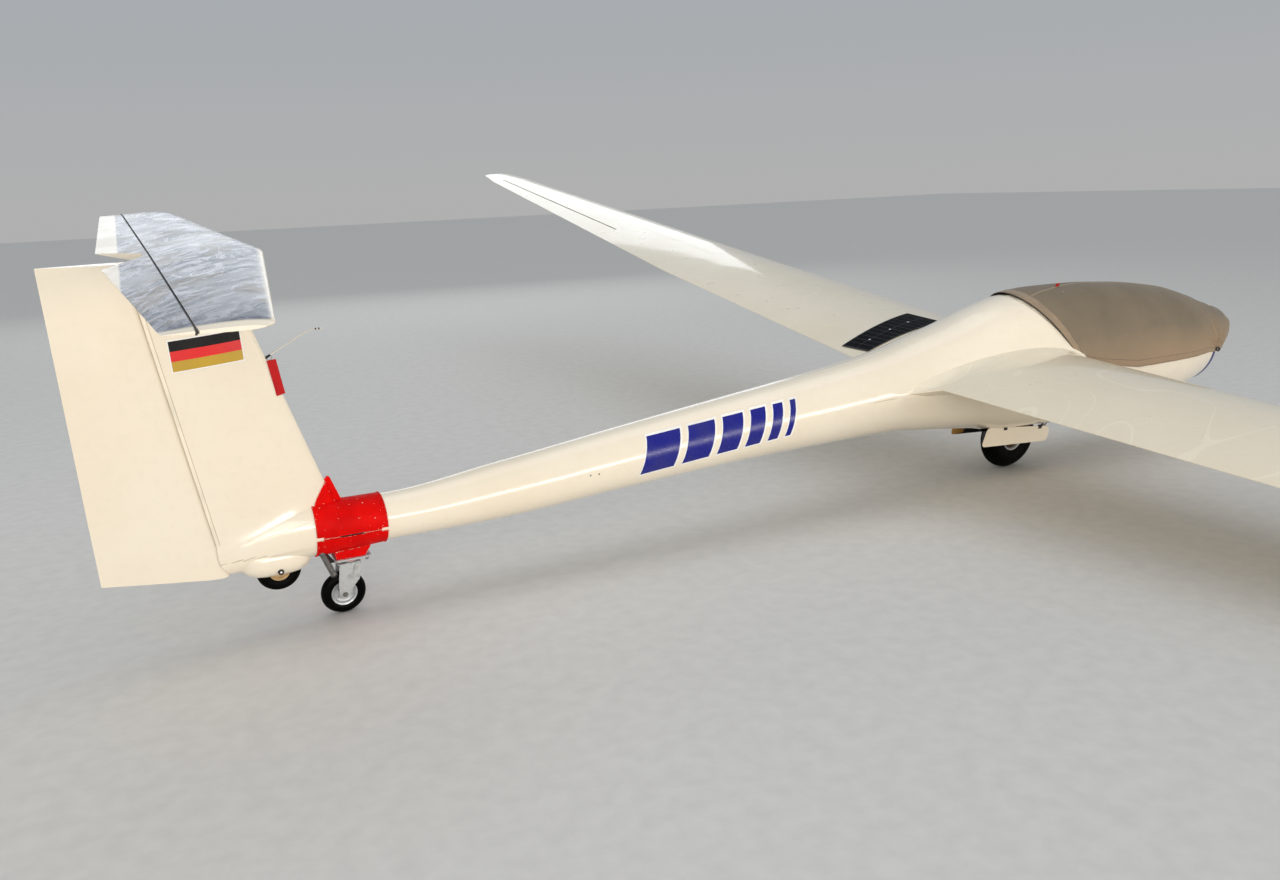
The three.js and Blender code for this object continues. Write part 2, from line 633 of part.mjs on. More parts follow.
function dollyParts(casterZ) {
  const { from, to, thick } = CLAMP;
  const ears = grownFin(thick + SEAT_GAP).intersect(slabXZ(CLAMP_EAR, -200, 200));
  const band = join(fuselageBody(thick, from, to), ears)
    .subtract(fuselageBody(SEAT_GAP, from - 20, to + 20))
    .subtract(grownFin(SEAT_GAP).intersect(block(-5000, 0, -200, 200, FIN_FOOT_Z, 900)))
    .subtract(block(from - 1, to + 1, -200, 0, SLIT.low, SLIT.high))
    .subtract(block(from - 1, from + SLIT.edge, -200, 0, SLIT.edgeLow, SLIT.edgeHigh))
    .subtract(block(to - SLIT.edge, to + 1, -200, 0, SLIT.edgeLow, SLIT.edgeHigh));
  const top = PLATE.z + PLATE.thick + SEAT_GAP;
  const lug = slabXZ([[-3775, top], [-3662, top], [-3635, 310], [-3787, 310]], -44, 44)
    .subtract(fuselageBody(thick + SEAT_GAP, from - 20, to + 20));
  const plate = block(PLATE.from, PLATE.to, -PLATE.half, PLATE.half, PLATE.z, PLATE.z + PLATE.thick);
  const lever = bar(LEVER.top, LEVER.foot, LEVER.radius, LEVER.radius, 12)
    .subtract(fuselageBody(thick + SEAT_GAP, from - 20, to + 20));
  const pivot = CASTER.pivotX;
  const crownZ = PLATE.z - 20;
  const head = bar(at(pivot, 0, crownZ + SEAT_GAP), at(pivot, 0, PLATE.z - SEAT_GAP), 30, 36);
  const crown = block(pivot - 50, pivot + 40, -CASTER.crown - 10, CASTER.crown + 10, crownZ - 6, crownZ);
  const side = CASTER.crown + 6;
  const cheeks = [-1, 1].map((s) => slabXZ(
    [[pivot - 50, crownZ], [pivot + 40, crownZ], [pivot + 24, casterZ + 60], [CASTER.x + 18, casterZ - 12],
      [CASTER.x - 18, casterZ - 12], [CASTER.x - 26, casterZ + 40]],
    Math.min(s * side, s * (side + 4)), Math.max(s * side, s * (side + 4))));
  const pin = bar(at(CASTER.x, -side - 10, casterZ), at(CASTER.x, side + 10, casterZ), CASTER.axle - SEAT_GAP);
  const fork = join(crown, ...cheeks, pin);
  return { band, lug, plate, lever, head, fork };
}

// Small pieces
function tipSkid(side) {
  const y = 7330;
  const floor = (y + 12) * Math.tan(THREE.MathUtils.degToRad(ROLL_DEG));
  const top = wingMiddle(y, 0.5, side).point.z;
  const skid = slabXZ([[-150, floor + 18], [-120, floor], [10, floor], [30, floor + 18], [30, top], [-150, top]],
    Math.min(side * (y - 12), side * (y + 12)), Math.max(side * (y - 12), side * (y + 12)));
  const lowered = WING.slice(3).map(([rowY, a, b, z, t]) => [rowY, a, b, z - SEAT_GAP, t]);
  return skid.subtract(wingSolid(lowered, side));
}

// The tube of the fin's pressure probe: foot, bend and tip
const PROBE = [at(-3975, 0, 1082), at(-3801, 0, 1178), at(-3747, 0, 1180)];

function solarPanel() {
  const plan = slabXY([[-800, 372], [-835, 500], [-240, 640], [-190, 440]], 500, 1100);
  const lift = 5;
  const rows = [wingRow(ROOT_RIB_Y + SEAT_GAP), ...WING.slice(2, 3)];
  const low = wingSolid(rows.map(([y, a, b, z, t]) => [y, a, b, z + SEAT_GAP, t]), 1);
  const high = wingSolid(rows.map(([y, a, b, z, t]) => [y, a, b, z + lift, t]), 1);
  return high.subtract(low).intersect(plan).intersect(block(-1000, 200, 300, 700, 690, 1000));
}

// Assembly

const group = new THREE.Group();
const aircraft = new THREE.Group();
aircraft.rotation.x = THREE.MathUtils.degToRad(ROLL_DEG);
group.add(aircraft);

function add(name, manifold, material) {
  const mesh = new THREE.Mesh(geometryOf(manifold), material);
  mesh.name = name;
  aircraft.add(mesh);
}

const gelcoat = look(GELCOAT, 0.2);
const rubber = look(RUBBER, 0.8);
const zinc = look(ZINC, 0.45, 0.8);
const red = look(RED_PAINT, 0.4);
const dark = look(DARK, 0.6);
const fabric = look(FABRIC, 0.9);

const mainZ = axleHeight(MAIN_WHEEL);
const casterZ = axleHeight(CASTER);
const tailBulge = loft([[-4135, 0.12], [-4105, 0.7], [-4040, 1], [-3950, 1], [-3890, 0.75], [-3858, 0.12]]
  .map(([x, size]) => fuselageRing([x, 290, 64 * size, 30 * size, 62 * size], 0)));
const tailWell = block(-4085, -3895, -31, 31, 100, 345);
const stubs = [-1, 1].map((side) => wingSolid(WING.slice(0, 2), side));
const hull = join(fuselageBody(0), tailBulge, ...stubs).subtract(wellBlock(0)).subtract(tailWell);

const cockpit = cockpitParts(hull);
add('fuselage', cockpit.shell, gelcoat);
add('canopy_frame', cockpit.frame, dark);
add('canopy_glass', cockpit.glass, look(0xcfd8dc, 0.05));
const cover = coverParts();
add('canopy_cover', cover.canopyCover, fabric);
add('nose_cover', cover.noseCover, fabric);
const fittings = cockpitFittings();
add('seat_pan', fittings.seat, dark);
add('instrument_panel', fittings.panel, dark);
add('control_stick', fittings.stick, dark);

for (const [name, side] of [['port', 1], ['starboard', -1]]) {
  const parts = wingParts(side);
  add(`wing_${name}`, parts.wing, gelcoat);
  add(`aileron_${name}`, parts.aileron, gelcoat);
  add(`airbrake_${name}`, parts.brake, gelcoat);
  add(`tip_skid_${name}`, tipSkid(side), rubber);
  add(`gear_door_${name}`, gearDoor(side), gelcoat);
}

const tailFin = finParts(fuselageBody(SEAT_GAP));
add('fin', tailFin.fin, gelcoat);
add('rudder', tailFin.rudder, gelcoat);
const tail = tailParts();
add('stabilizer', tail.stabilizer, gelcoat);
add('elevator', tail.elevator, gelcoat);

const mainWheel = wheel(MAIN_WHEEL, mainZ);
add('main_gear_leg', mainGear(mainZ), zinc);
add('main_wheel_rim', mainWheel.rim, zinc);
add('main_tyre', mainWheel.tyre, rubber);
const tailWheel = wheel(TAIL_WHEEL, TAIL_WHEEL.z);
add('tail_wheel_rim', tailWheel.rim, zinc);
add('tail_tyre', tailWheel.tyre, rubber);
add('tail_axle', bar(at(TAIL_WHEEL.x, -30.7, TAIL_WHEEL.z), at(TAIL_WHEEL.x, 30.7, TAIL_WHEEL.z),
  TAIL_WHEEL.axle - SEAT_GAP), zinc);

const dolly = dollyParts(casterZ);
add('dolly_clamp', dolly.band, red);
add('dolly_lug', dolly.lug, red);
add('dolly_plate', dolly.plate, zinc);
add('dolly_lever', dolly.lever, zinc);
add('fin_probe', join(bar(PROBE[0], PROBE[1], 2.5, 2.5, 10), bar(PROBE[1], PROBE[2], 2.5, 2.5, 10))
  .subtract(grownFin(SEAT_GAP)), dark);
add('dolly_swivel', dolly.head, zinc);
add('caster_fork', dolly.fork, zinc);
const casterWheel = wheel(CASTER, casterZ);
add('caster_rim', casterWheel.rim, zinc);
add('caster_tyre', casterWheel.tyre, rubber);
add('solar_panel', solarPanel(), look(CELLS, 0.3));

// The origin is on the floor, in the middle of the aircraft's outline seen from above
const outline = new THREE.Box3().setFromObject(group, true);
const middle = outline.getCenter(new THREE.Vector3());
aircraft.position.set(-middle.x, -middle.y, -outline.min.z);

export default group;
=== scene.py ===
"""Looks of the parked sailplane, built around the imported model.

Shapes are drawn in the aircraft's own frame in millimetres: X to the nose, Y to port, Z up, with
the origin on the floor below the main wheel. TO_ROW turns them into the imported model's frame in
metres, in which the whole aircraft leans to starboard.
"""

import math

import bmesh
import bpy
import numpy as np
from mathutils import Matrix, Vector
from mathutils.bvhtree import BVHTree


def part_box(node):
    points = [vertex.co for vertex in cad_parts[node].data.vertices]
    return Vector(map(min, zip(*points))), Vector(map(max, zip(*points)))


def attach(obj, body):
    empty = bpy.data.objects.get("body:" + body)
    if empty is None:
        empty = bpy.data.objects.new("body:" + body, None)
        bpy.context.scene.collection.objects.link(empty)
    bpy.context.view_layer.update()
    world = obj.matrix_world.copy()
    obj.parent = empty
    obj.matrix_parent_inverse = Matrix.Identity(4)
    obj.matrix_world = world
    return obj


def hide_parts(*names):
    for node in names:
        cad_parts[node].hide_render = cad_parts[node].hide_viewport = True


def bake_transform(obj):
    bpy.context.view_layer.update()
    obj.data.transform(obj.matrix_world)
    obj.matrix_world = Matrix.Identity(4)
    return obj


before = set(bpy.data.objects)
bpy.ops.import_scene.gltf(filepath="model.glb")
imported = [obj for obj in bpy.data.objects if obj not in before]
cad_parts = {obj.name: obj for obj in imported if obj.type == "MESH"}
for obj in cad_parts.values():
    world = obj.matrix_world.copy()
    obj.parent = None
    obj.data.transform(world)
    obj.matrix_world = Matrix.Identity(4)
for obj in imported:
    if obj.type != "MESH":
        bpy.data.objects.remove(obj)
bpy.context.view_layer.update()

# Tyres; the crown is the radius of the round tread, on which the leaning aircraft stands
MAIN_TYRE = {"radius": 180, "crown": 60, "hub": 70}
TAIL_TYRE = {"radius": 85, "crown": 24, "hub": 40}
CASTER_TYRE = {"radius": 90, "crown": 24, "hub": 52}
ROLL = math.radians(6.8)
SIDES = (("port", 1), ("starboard", -1))


def axle_height(tyre):
    return tyre["radius"] - tyre["crown"] + tyre["crown"] / math.cos(ROLL)


# Aircraft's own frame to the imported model's frame
MAIN_AXLE_Z = axle_height(MAIN_TYRE)
tyre_low, tyre_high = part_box("main_tyre")
tyre_middle = (tyre_low + tyre_high) / 2
SHIFT = Vector((tyre_middle.x, tyre_middle.y + math.sin(ROLL) * MAIN_AXLE_Z / 1000, 0))
TO_ROW = Matrix.Translation(SHIFT) @ Matrix.Rotation(ROLL, 4, "X") @ Matrix.Scale(0.001, 4)
TO_ROW_NP = np.array(TO_ROW)


def row_point(x, y, z):
    return TO_ROW @ Vector((x, y, z))


def put(name, data):
    """An object with this data, in the scene."""
    thing = bpy.data.objects.new(name, data)
    bpy.context.scene.collection.objects.link(thing)
    return thing


# Camera, fitted to the floor's slabs and the aircraft in the photograph
CAMERA_AT = Vector((-4594.80, -3920.67, 2122.68))
CAMERA_RIGHT = Vector((0.87428, -0.48507, 0.01828))
CAMERA_DOWN = Vector((-0.14283, -0.29305, -0.94537))
LENS = 29.76
SENSOR = 36.0
PRINCIPAL_SHIFT_Y = -0.0078
CLIP_END = 200


def add_camera():
    turn = Matrix.Rotation(ROLL, 3, "X")
    right = (turn @ CAMERA_RIGHT).normalized()
    down = turn @ CAMERA_DOWN
    down = (down - right * down.dot(right)).normalized()
    back = right.cross(-down).normalized()
    data = bpy.data.cameras.new("view_camera")
    data.lens = LENS
    data.sensor_width = SENSOR
    data.sensor_fit = "HORIZONTAL"
    data.shift_y = PRINCIPAL_SHIFT_Y
    data.clip_end = CLIP_END
    camera = put("view_camera", data)
    axes = Matrix((right, -down, back)).transposed().to_4x4()
    camera.matrix_world = Matrix.Translation(TO_ROW @ CAMERA_AT) @ axes
    bpy.context.scene.camera = camera


add_camera()

# Node helpers for materials
INPUTS = {
    "color": "Base Color", "rough": "Roughness", "metal": "Metallic", "coat": "Coat Weight",
    "coat_rough": "Coat Roughness", "sheen": "Sheen Weight", "sheen_rough": "Sheen Roughness",
    "normal": "Normal", "coat_normal": "Coat Normal", "transmission": "Transmission Weight",
    "ior": "IOR", "specular": "Specular IOR Level",
}


class Shader:
    """A material under construction: short calls that add a node and return its output."""

    def __init__(self, name):
        self.material = bpy.data.materials.new(name)
        self.material.use_nodes = True
        self.tree = self.material.node_tree
        self.principled = self.tree.nodes["Principled BSDF"]
        self.coordinates = self.tree.nodes.new("ShaderNodeTexCoord").outputs["Object"]

    def node(self, kind, inputs=None, **settings):
        node = self.tree.nodes.new("ShaderNode" + kind)
        for key, value in settings.items():
            setattr(node, key, value)
        for key, value in (inputs or {}).items():
            self.feed(node.inputs[key], value)
        return node

    def feed(self, socket, value):
        if isinstance(value, bpy.types.NodeSocket):
            self.tree.links.new(value, socket)
        else:
            socket.default_value = value

    def set(self, **values):
        for key, value in values.items():
            self.feed(self.principled.inputs[INPUTS[key]], value)
        return self

    def stretched(self, scale=(1, 1, 1), turn=(0, 0, 0), vector=None):
        inputs = {"Vector": vector or self.coordinates, "Scale": scale, "Rotation": turn}
        return self.node("Mapping", inputs).outputs[0]

    def noise(self, scale, detail=3.0, rough=0.5, vector=None, warp=0.0):
        inputs = {"Vector": vector or self.coordinates, "Scale": scale, "Detail": detail,
                  "Roughness": rough, "Distortion": warp}
        return self.node("TexNoise", inputs).outputs["Fac"]

    def wave(self, scale, direction):
        inputs = {"Vector": self.coordinates, "Scale": scale, "Distortion": 0.0, "Detail": 1.0}
        return self.node("TexWave", inputs, bands_direction=direction).outputs["Fac"]

    def cells(self, scale, output="Distance", vector=None):
        inputs = {"Vector": vector or self.coordinates, "Scale": scale}
        return self.node("TexVoronoi", inputs).outputs[output]

    def spread(self, value, low, high, to_low=0.0, to_high=1.0):
        inputs = {"Value": value, "From Min": low, "From Max": high, "To Min": to_low, "To Max": to_high}
        return self.node("MapRange", inputs).outputs[0]

    def mix(self, share, first, second):
        node = self.node("Mix", {"Factor": share}, data_type="RGBA")
        self.feed(node.inputs["A"], first)
        self.feed(node.inputs["B"], second)
        return next(out for out in node.outputs if out.type == "RGBA")

    def math(self, operation, first, second=0.0):
        return self.node("Math", {0: first, 1: second}, operation=operation).outputs[0]

    def times(self, first, second):
        return self.math("MULTIPLY", first, second)

    def axis(self, vector, letter):
        return self.node("SeparateXYZ", {"Vector": vector}).outputs[letter]

    def contours(self, value, count, share):
        """One on thin lines where the value passes each of count equal steps."""
        return self.math("LESS_THAN", self.math("FRACT", self.times(value, count)), share)

    def patches(self, noise, low, high, first, second):
        """Two colours in clouds; noise holds its scale, detail and roughness."""
        return self.mix(self.spread(self.noise(*noise), low, high), first, second)

    def uneven(self, noise, low, high, end=0.7):
        """Roughness that wanders between low and high."""
        return self.spread(self.noise(*noise), 0.3, end, low, high)

    def weave(self, threads):
        return self.math("MAXIMUM", self.wave(threads, "X"), self.wave(threads, "Y"))

    def bump(self, height, strength, distance, normal=None):
        inputs = {"Height": height, "Strength": strength, "Distance": distance}
        if normal:
            inputs["Normal"] = normal
        return self.node("Bump", inputs).outputs[0]

    def normal(self):
        return self.node("NewGeometry").outputs["Normal"]

    def edges(self, radius):
        """Near one on sharp convex edges, from the difference of two normals."""
        vectors = {0: self.node("Bevel", {"Radius": radius}).outputs[0], 1: self.normal()}
        alike = self.node("VectorMath", vectors, operation="DOT_PRODUCT").outputs["Value"]
        return self.spread(alike, 0.99, 0.82)


def rgb(r, g, b):
    """Linear colour from the 0 to 255 values of a screen colour."""
    def linear(c):
        c /= 255
        return c / 12.92 if c <= 0.04045 else ((c + 0.055) / 1.055) ** 2.4
    return (linear(r), linear(g), linear(b), 1.0)


def shade(color, factors, add=0.0):
    """The colour times one factor, or times one for each channel, and no brighter than white."""
    factors = factors if isinstance(factors, tuple) else (factors,) * 3
    return tuple(min(1.0, c * k + add) for c, k in zip(color, factors)) + (1.0,)


def gelcoat(name, base, contours=0, wave_depth=0.004, gloss=0.16):
    """Cream gelcoat: faint clouds of tone, dust, a clear gloss, slow waves from polishing by hand and, when
    contours is given, pale lines of painted highlight.
    """
    s = Shader(name)
    tone = s.patches((1.6, 4, 0.55), 0.35, 0.68, base, shade(base, (0.955, 0.935, 0.90)))
    dust = s.spread(s.noise(26, 5, 0.65), 0.50, 0.78)
    tone = s.mix(s.times(dust, 0.35), tone, shade(base, (0.88, 0.87, 0.85)))
    # Pale lines along the contours of a slow noise: painted highlights that stand for the reflections of the
    # skin's ripples.
    if contours:
        line = s.contours(s.noise(0.9, 1, 0.4, warp=0.6), contours, 0.05)
        tone = s.mix(s.times(line, 0.35), tone, shade(base, 1.16))
    s.set(color=tone, rough=s.uneven((7, 5, 0.6), gloss, gloss + 0.12, 0.75), coat=0.7, coat_rough=0.06)
    slow = s.noise(4.2, 2, 0.45, vector=s.stretched((1.0, 0.5, 1.0)), warp=0.5)
    normal = s.bump(slow, 0.35, wave_depth, s.bump(s.noise(210, 2), 0.05, 0.0006))
    return s.set(normal=normal, coat_normal=normal).material


# Tailplane: its middle, where the painted reflection ends in front of its rear edge, and how that line sweeps
TAIL_Z = 1476
REFLECTION_END_X = -4398
REFLECTION_SWEEP = 0.0605
REFLECTION_TURN = -0.95


def gelcoat_painted_reflection(name, base):
    """Gelcoat whose hard-polished upper face carries a painted reflection of the hall: wavy grey and pale
    bands painted into its colour.
    """
    s = Shader(name)
    end = row_point(REFLECTION_END_X, 0, TAIL_Z)
    outward = s.math("SUBTRACT", s.axis(s.coordinates, "Y"), end.y)
    inboard = s.spread(s.math("ABSOLUTE", outward), 1.118, 1.100)
    top = s.times(s.spread(s.axis(s.normal(), "Z"), 0.90, 0.965), inboard)
    lively = s.spread(outward, -1.1, -0.45, 0.45, 1.0)
    along = s.math("SUBTRACT", s.axis(s.coordinates, "X"), s.times(outward, REFLECTION_SWEEP))
    top = s.times(top, s.spread(along, end.x - 0.003, end.x + 0.003))
    vector = s.stretched((0.8, 1.9, 1.0), vector=s.stretched(turn=(0, 0, REFLECTION_TURN)))
    broad = s.noise(2.6, 4, 0.55, vector=vector, warp=1.2)
    fine = s.noise(8, 4, 0.62, vector=vector, warp=1.7)
    tint = s.noise(3.6, 3, 0.5, vector=vector, warp=1.2)
    # Painted reflection: grey, warm, pale and thin dark bands, a mirror image of the hall painted into the
    # colour of the upward faces.
    painted_reflection = s.mix(s.spread(broad, 0.44, 0.56), rgb(98, 105, 120), rgb(148, 151, 158))
    painted_reflection = s.mix(s.spread(tint, 0.53, 0.58, 0.0, 0.75), painted_reflection, rgb(130, 122, 112))
    pale = s.times(s.spread(fine, 0.51, 0.55, 0.0, 0.9), lively)
    painted_reflection = s.mix(pale, painted_reflection, rgb(192, 193, 206))
    painted_reflection = s.mix(s.times(s.contours(fine, 13, 0.11), 0.7), painted_reflection, rgb(64, 68, 82))
    s.set(color=s.mix(top, base, painted_reflection), rough=s.uneven((7, 4), 0.16, 0.26), specular=0.2)
    slow = s.bump(s.noise(4.2, 2, 0.45, vector=vector, warp=0.8), 0.5, 0.008)
    return s.set(normal=s.bump(s.noise(210, 2), 0.05, 0.0006, slow)).material


def cover_cloth():
    """Coated grey-brown fabric: fine weave, soft sheen, water marks and small pale specks."""
    s = Shader("cover_cloth")
    light = rgb(154, 131, 105)
    height = s.math("ADD", s.axis(s.coordinates, "Z"), s.times(s.noise(2.4, 3), 0.16))
    tone = s.patches((1.9, 4, 0.6), 0.35, 0.7, rgb(129, 115, 95), rgb(111, 100, 82))
    tone = s.mix(s.spread(height, 0.84, 0.66), tone, light)
    specks = s.math("GREATER_THAN", s.cells(11), 0.93)
    droppings = s.math("LESS_THAN", s.cells(5.5, vector=s.stretched((1, 1.3, 0.7))), 0.028)
    tone = s.mix(s.times(specks, 0.08), tone, light)
    s.set(color=s.mix(s.times(droppings, 0.75), tone, rgb(205, 200, 190)))
    s.set(rough=s.uneven((14, 4), 0.50, 0.62), sheen=0.06, sheen_rough=0.4, specular=0.35)
    creases = s.noise(6.5, 5, 0.55, vector=s.stretched((0.6, 1, 1)), warp=0.9)
    return s.set(normal=s.bump(creases, 0.32, 0.007, s.bump(s.weave(260), 0.12, 0.0005))).material


def chipped_red():
    """Hand-painted red over steel: brush marks, chips along the edges and specks of bare metal."""
    s = Shader("chipped_red")
    red = s.patches((12, 4), 0.35, 0.7, rgb(224, 9, 5), rgb(200, 5, 4))
    chips = s.times(s.edges(0.003), s.math("GREATER_THAN", s.noise(130, 4, 0.6), 0.52))
    bare = s.math("MAXIMUM", chips, s.math("GREATER_THAN", s.noise(95, 3, 0.55), 0.70))
    s.set(color=s.mix(bare, red, rgb(214, 196, 176)), metal=s.times(bare, 0.3))
    s.set(rough=s.uneven((40, 4), 0.42, 0.60), specular=0.06)
    brush = s.bump(s.noise(60, 3, 0.5, vector=s.stretched((0.4, 3, 3))), 0.22, 0.0012)
    return s.set(normal=s.bump(s.math("SUBTRACT", 1.0, bare), 0.4, 0.0006, brush)).material


def galvanised():
    """Zinc with its grown crystals, dull patches and a few scratches."""
    s = Shader("galvanised")
    value = s.node("SeparateColor", {"Color": s.cells(190, output="Color")}).outputs[0]
    tone = s.mix(value, rgb(192, 196, 197), rgb(206, 209, 209))
    s.set(color=s.patches((22, 4), 0.55, 0.8, tone, rgb(160, 160, 156)), metal=0.55)
    s.set(rough=s.spread(value, 0, 1, 0.34, 0.52))
    scratches = s.noise(90, 3, 0.6, vector=s.stretched((1, 8, 1)))
    return s.set(normal=s.bump(scratches, 0.1, 0.0005)).material


def worn_steel(name, color, rough, rust):
    """Steel in two tones with spots of rust."""
    s = Shader(name)
    spots = s.spread(s.noise(65, 5, 0.65), 0.58, 0.70, 0.0, rust)
    tone = s.patches((48, 4), 0.35, 0.7, color, shade(color, 0.6))
    s.set(color=s.mix(spots, tone, rgb(104, 62, 34)), metal=s.math("SUBTRACT", 0.92, spots))
    s.set(rough=s.uneven((120, 3), rough, rough + 0.16))
    return s.set(normal=s.bump(s.noise(260, 3), 0.12, 0.0004)).material


def rubber(name, rough):
    """Black rubber with dust in its lower places and a dull skin."""
    s = Shader(name)
    dust = s.spread(s.noise(17, 5, 0.65), 0.48, 0.78)
    s.set(color=s.mix(s.times(dust, 0.16), rgb(2, 2, 2), rgb(30, 28, 25)), specular=0.06)
    s.set(rough=s.spread(dust, 0, 1, rough, rough + 0.25))
    return s.set(normal=s.bump(s.noise(420, 3), 0.2, 0.0005)).material


def woven(name, color, threads=520, sheen=0.4):
    """Plain woven textile with a visible thread."""
    s = Shader(name)
    weave = s.weave(threads)
    tone = s.patches((14, 4), 0.35, 0.7, color, shade(color, 0.72))
    s.set(color=s.mix(s.times(weave, 0.22), tone, shade(color, 1.5)), normal=s.bump(weave, 0.4, 0.0006))
    return s.set(rough=0.85, sheen=sheen, sheen_rough=0.5).material


# kind: noise of the tone, factor and addition of the second tone, noise and span of the roughness,
# noise of the relief, its strength and depth, share of metal
FINISHES = {
    "foil": ((9, 4), (0.86, 0.012), (30, 3), 0.10, (160, 2), (0.05, 0.0006), 0.0),
    "alloy": ((30, 4), (0.72, 0.0), (80, 3), 0.15, (300, 3, 0.6), (0.18, 0.0006), 0.6),
    "plastic": ((15, 3), (1.5, 0.004), (60, 3), 0.12, None, (0.15, 0.0004), 0.0),
}
PLASTIC_GRAIN = 900


def finish(kind, name, color, rough=0.5):
    """One plain colour with a patchy second tone and a fine relief."""
    tone, second, grain, span, relief, depth, metal = FINISHES[kind]
    s = Shader(name)
    s.set(color=s.patches(tone, 0.4, 0.7, color, shade(color, *second)), metal=metal)
    s.set(rough=s.uneven(grain, rough, rough + span))
    height = s.noise(*relief) if relief else s.cells(PLASTIC_GRAIN)
    return s.set(normal=s.bump(height, *depth)).material


def solar_cells():
    """Black cells behind a clear sheet, each with faint silver fingers."""
    s = Shader("solar_cell_face")
    fingers = s.math("GREATER_THAN", s.wave(30, "X"), 0.96)
    tone = s.patches((18, 3), 0.4, 0.65, rgb(5, 5, 7), rgb(9, 10, 15))
    s.set(color=s.mix(s.times(fingers, 0.12), tone, rgb(60, 62, 70)), specular=0.04)
    return s.set(rough=s.uneven((40, 3), 0.50, 0.62), normal=s.bump(fingers, 0.1, 0.0004)).material


def clear_glazing():
    s = Shader("clear_glazing")
    haze = s.spread(s.noise(30, 4), 0.4, 0.75, 0.02, 0.10)
    s.set(color=rgb(236, 242, 242), transmission=0.96, ior=1.49, rough=haze)
    return s.set(normal=s.bump(s.noise(6, 2), 0.05, 0.001)).material


def pale_floor():
    s = Shader("pale_floor")
    tone = s.patches((14, 5), 0.35, 0.7, rgb(224, 221, 216), rgb(217, 214, 209))
    return s.set(color=tone, rough=0.85, specular=0.2, normal=s.bump(s.noise(60, 4), 0.06, 0.001)).material


CREAM = rgb(243, 232, 212)
GEL = gelcoat("gelcoat", CREAM)
GEL_TAIL = gelcoat_painted_reflection("gelcoat_tailplane_painted_reflection", rgb(240, 230, 212))
# The wing's gelcoat has pale contour lines painted on it: painted highlights of its ripples.
GEL_WING = gelcoat("gelcoat_wing", rgb(242, 230, 205), contours=17, wave_depth=0.005, gloss=0.26)
CLOTH = cover_cloth()
RED = chipped_red()
ZINC = galvanised()
CELLS = solar_cells()
GLAZING = clear_glazing()
STEEL = worn_steel("bare_steel", rgb(150, 148, 146), 0.35, rust=0.3)
BRIGHT_STEEL = worn_steel("bright_steel", rgb(142, 140, 138), 0.24, rust=0.15)
DARK_STEEL = worn_steel("dark_steel", rgb(62, 60, 60), 0.45, rust=0.5)
TYRE = rubber("tyre_rubber", 0.55)
CASTER_RUBBER = rubber("caster_rubber", 0.38)
HEM = woven("cover_hem", rgb(150, 130, 106), 420, sheen=0.15)
CUSHION = woven("cushion_cloth", rgb(84, 88, 96))
WEBBING = woven("webbing", rgb(40, 52, 110), 900)
RED_CLOTH = woven("red_ribbon", rgb(196, 8, 14), 1200, sheen=0.03)
ROPE = woven("tie_cord", rgb(52, 44, 40), 1400)
ALLOY = finish("alloy", "alloy_rim", rgb(176, 176, 174), 0.42)
CASTER_ALLOY = finish("alloy", "caster_rim_grey", rgb(198, 202, 204), 0.38)
RIM_TAN = finish("alloy", "tail_rim_tan", rgb(214, 182, 134))
RIM_BROWN = finish("alloy", "main_rim_dusty", rgb(122, 100, 78), 0.55)
BLACK = finish("plastic", "black_plastic", rgb(24, 24, 26))
DIAL_RIM = finish("plastic", "dial_rim", rgb(44, 44, 46), 0.4)
GREY_TRIM = finish("plastic", "grey_trim", rgb(70, 70, 72), 0.6)
FLAG_BLACK = finish("plastic", "flag_black", rgb(3, 2, 2), 0.7)
# Yellow-brown, for the rib of the port gear door.
YELLOW_BROWN = finish("plastic", "yellow_brown", rgb(150, 112, 52), 0.6)
SOLAR_BACK = finish("plastic", "solar_back", rgb(10, 10, 11), 0.45)
TAPE = finish("foil", "seal_tape", CREAM, 0.3)
# Darker cream for beads along the seal tapes' edges and the wing root's seam: the real edges and seam,
# darkened as painted shade.
SHADED_TAPE_EDGE = finish("foil", "seal_edge_painted_shade", rgb(196, 182, 158))
NAVY = finish("foil", "navy_foil", rgb(8, 14, 128), 0.22)
WHITE = finish("foil", "white_foil", rgb(246, 244, 240), 0.3)
FLAG_RED = finish("foil", "flag_red", rgb(226, 20, 22), 0.3)
FLAG_GOLD = finish("foil", "flag_gold", rgb(196, 158, 38), 0.3)
BUSBAR = finish("foil", "solar_busbar", rgb(58, 61, 66), 0.6)
PROBE_PAINT = finish("foil", "probe_paint", rgb(214, 208, 196), 0.35)

# Meshes
WELD = 1e-6
CARVE_WELD = 1e-5


def clean_mesh(name, points, faces, weld):
    """A mesh with doubled points welded and its faces turned outward."""
    mesh = bpy.data.meshes.new(name)
    mesh.from_pydata(np.asarray(points, float).tolist(), [], [list(map(int, f)) for f in faces])
    work = bmesh.new()
    work.from_mesh(mesh)
    bmesh.ops.remove_doubles(work, verts=work.verts, dist=weld)
    bmesh.ops.recalc_face_normals(work, faces=work.faces)
    work.to_mesh(mesh)
    work.free()
    return mesh


def make(name, shape, material, body="airframe", replaces=(), smooth=40):
    """A piece from points and faces in the aircraft's own frame, riding on a body."""
    points = np.asarray(shape[0], float) @ TO_ROW_NP[:3, :3].T + TO_ROW_NP[:3, 3]
    mesh = clean_mesh(name, points, shape[1], WELD)
    mesh.materials.append(material)
    if smooth:
        mesh.shade_smooth()
        mesh.set_sharp_from_angle(angle=math.radians(smooth))
    piece = put(name, mesh)
    if body:
        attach(piece, body)
    if replaces:
        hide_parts(*replaces)
    return piece


def xyz(x, y, z):
    """Points from coordinates, each a number or an array."""
    return np.stack(np.broadcast_arrays(x, y, z), -1).astype(float)


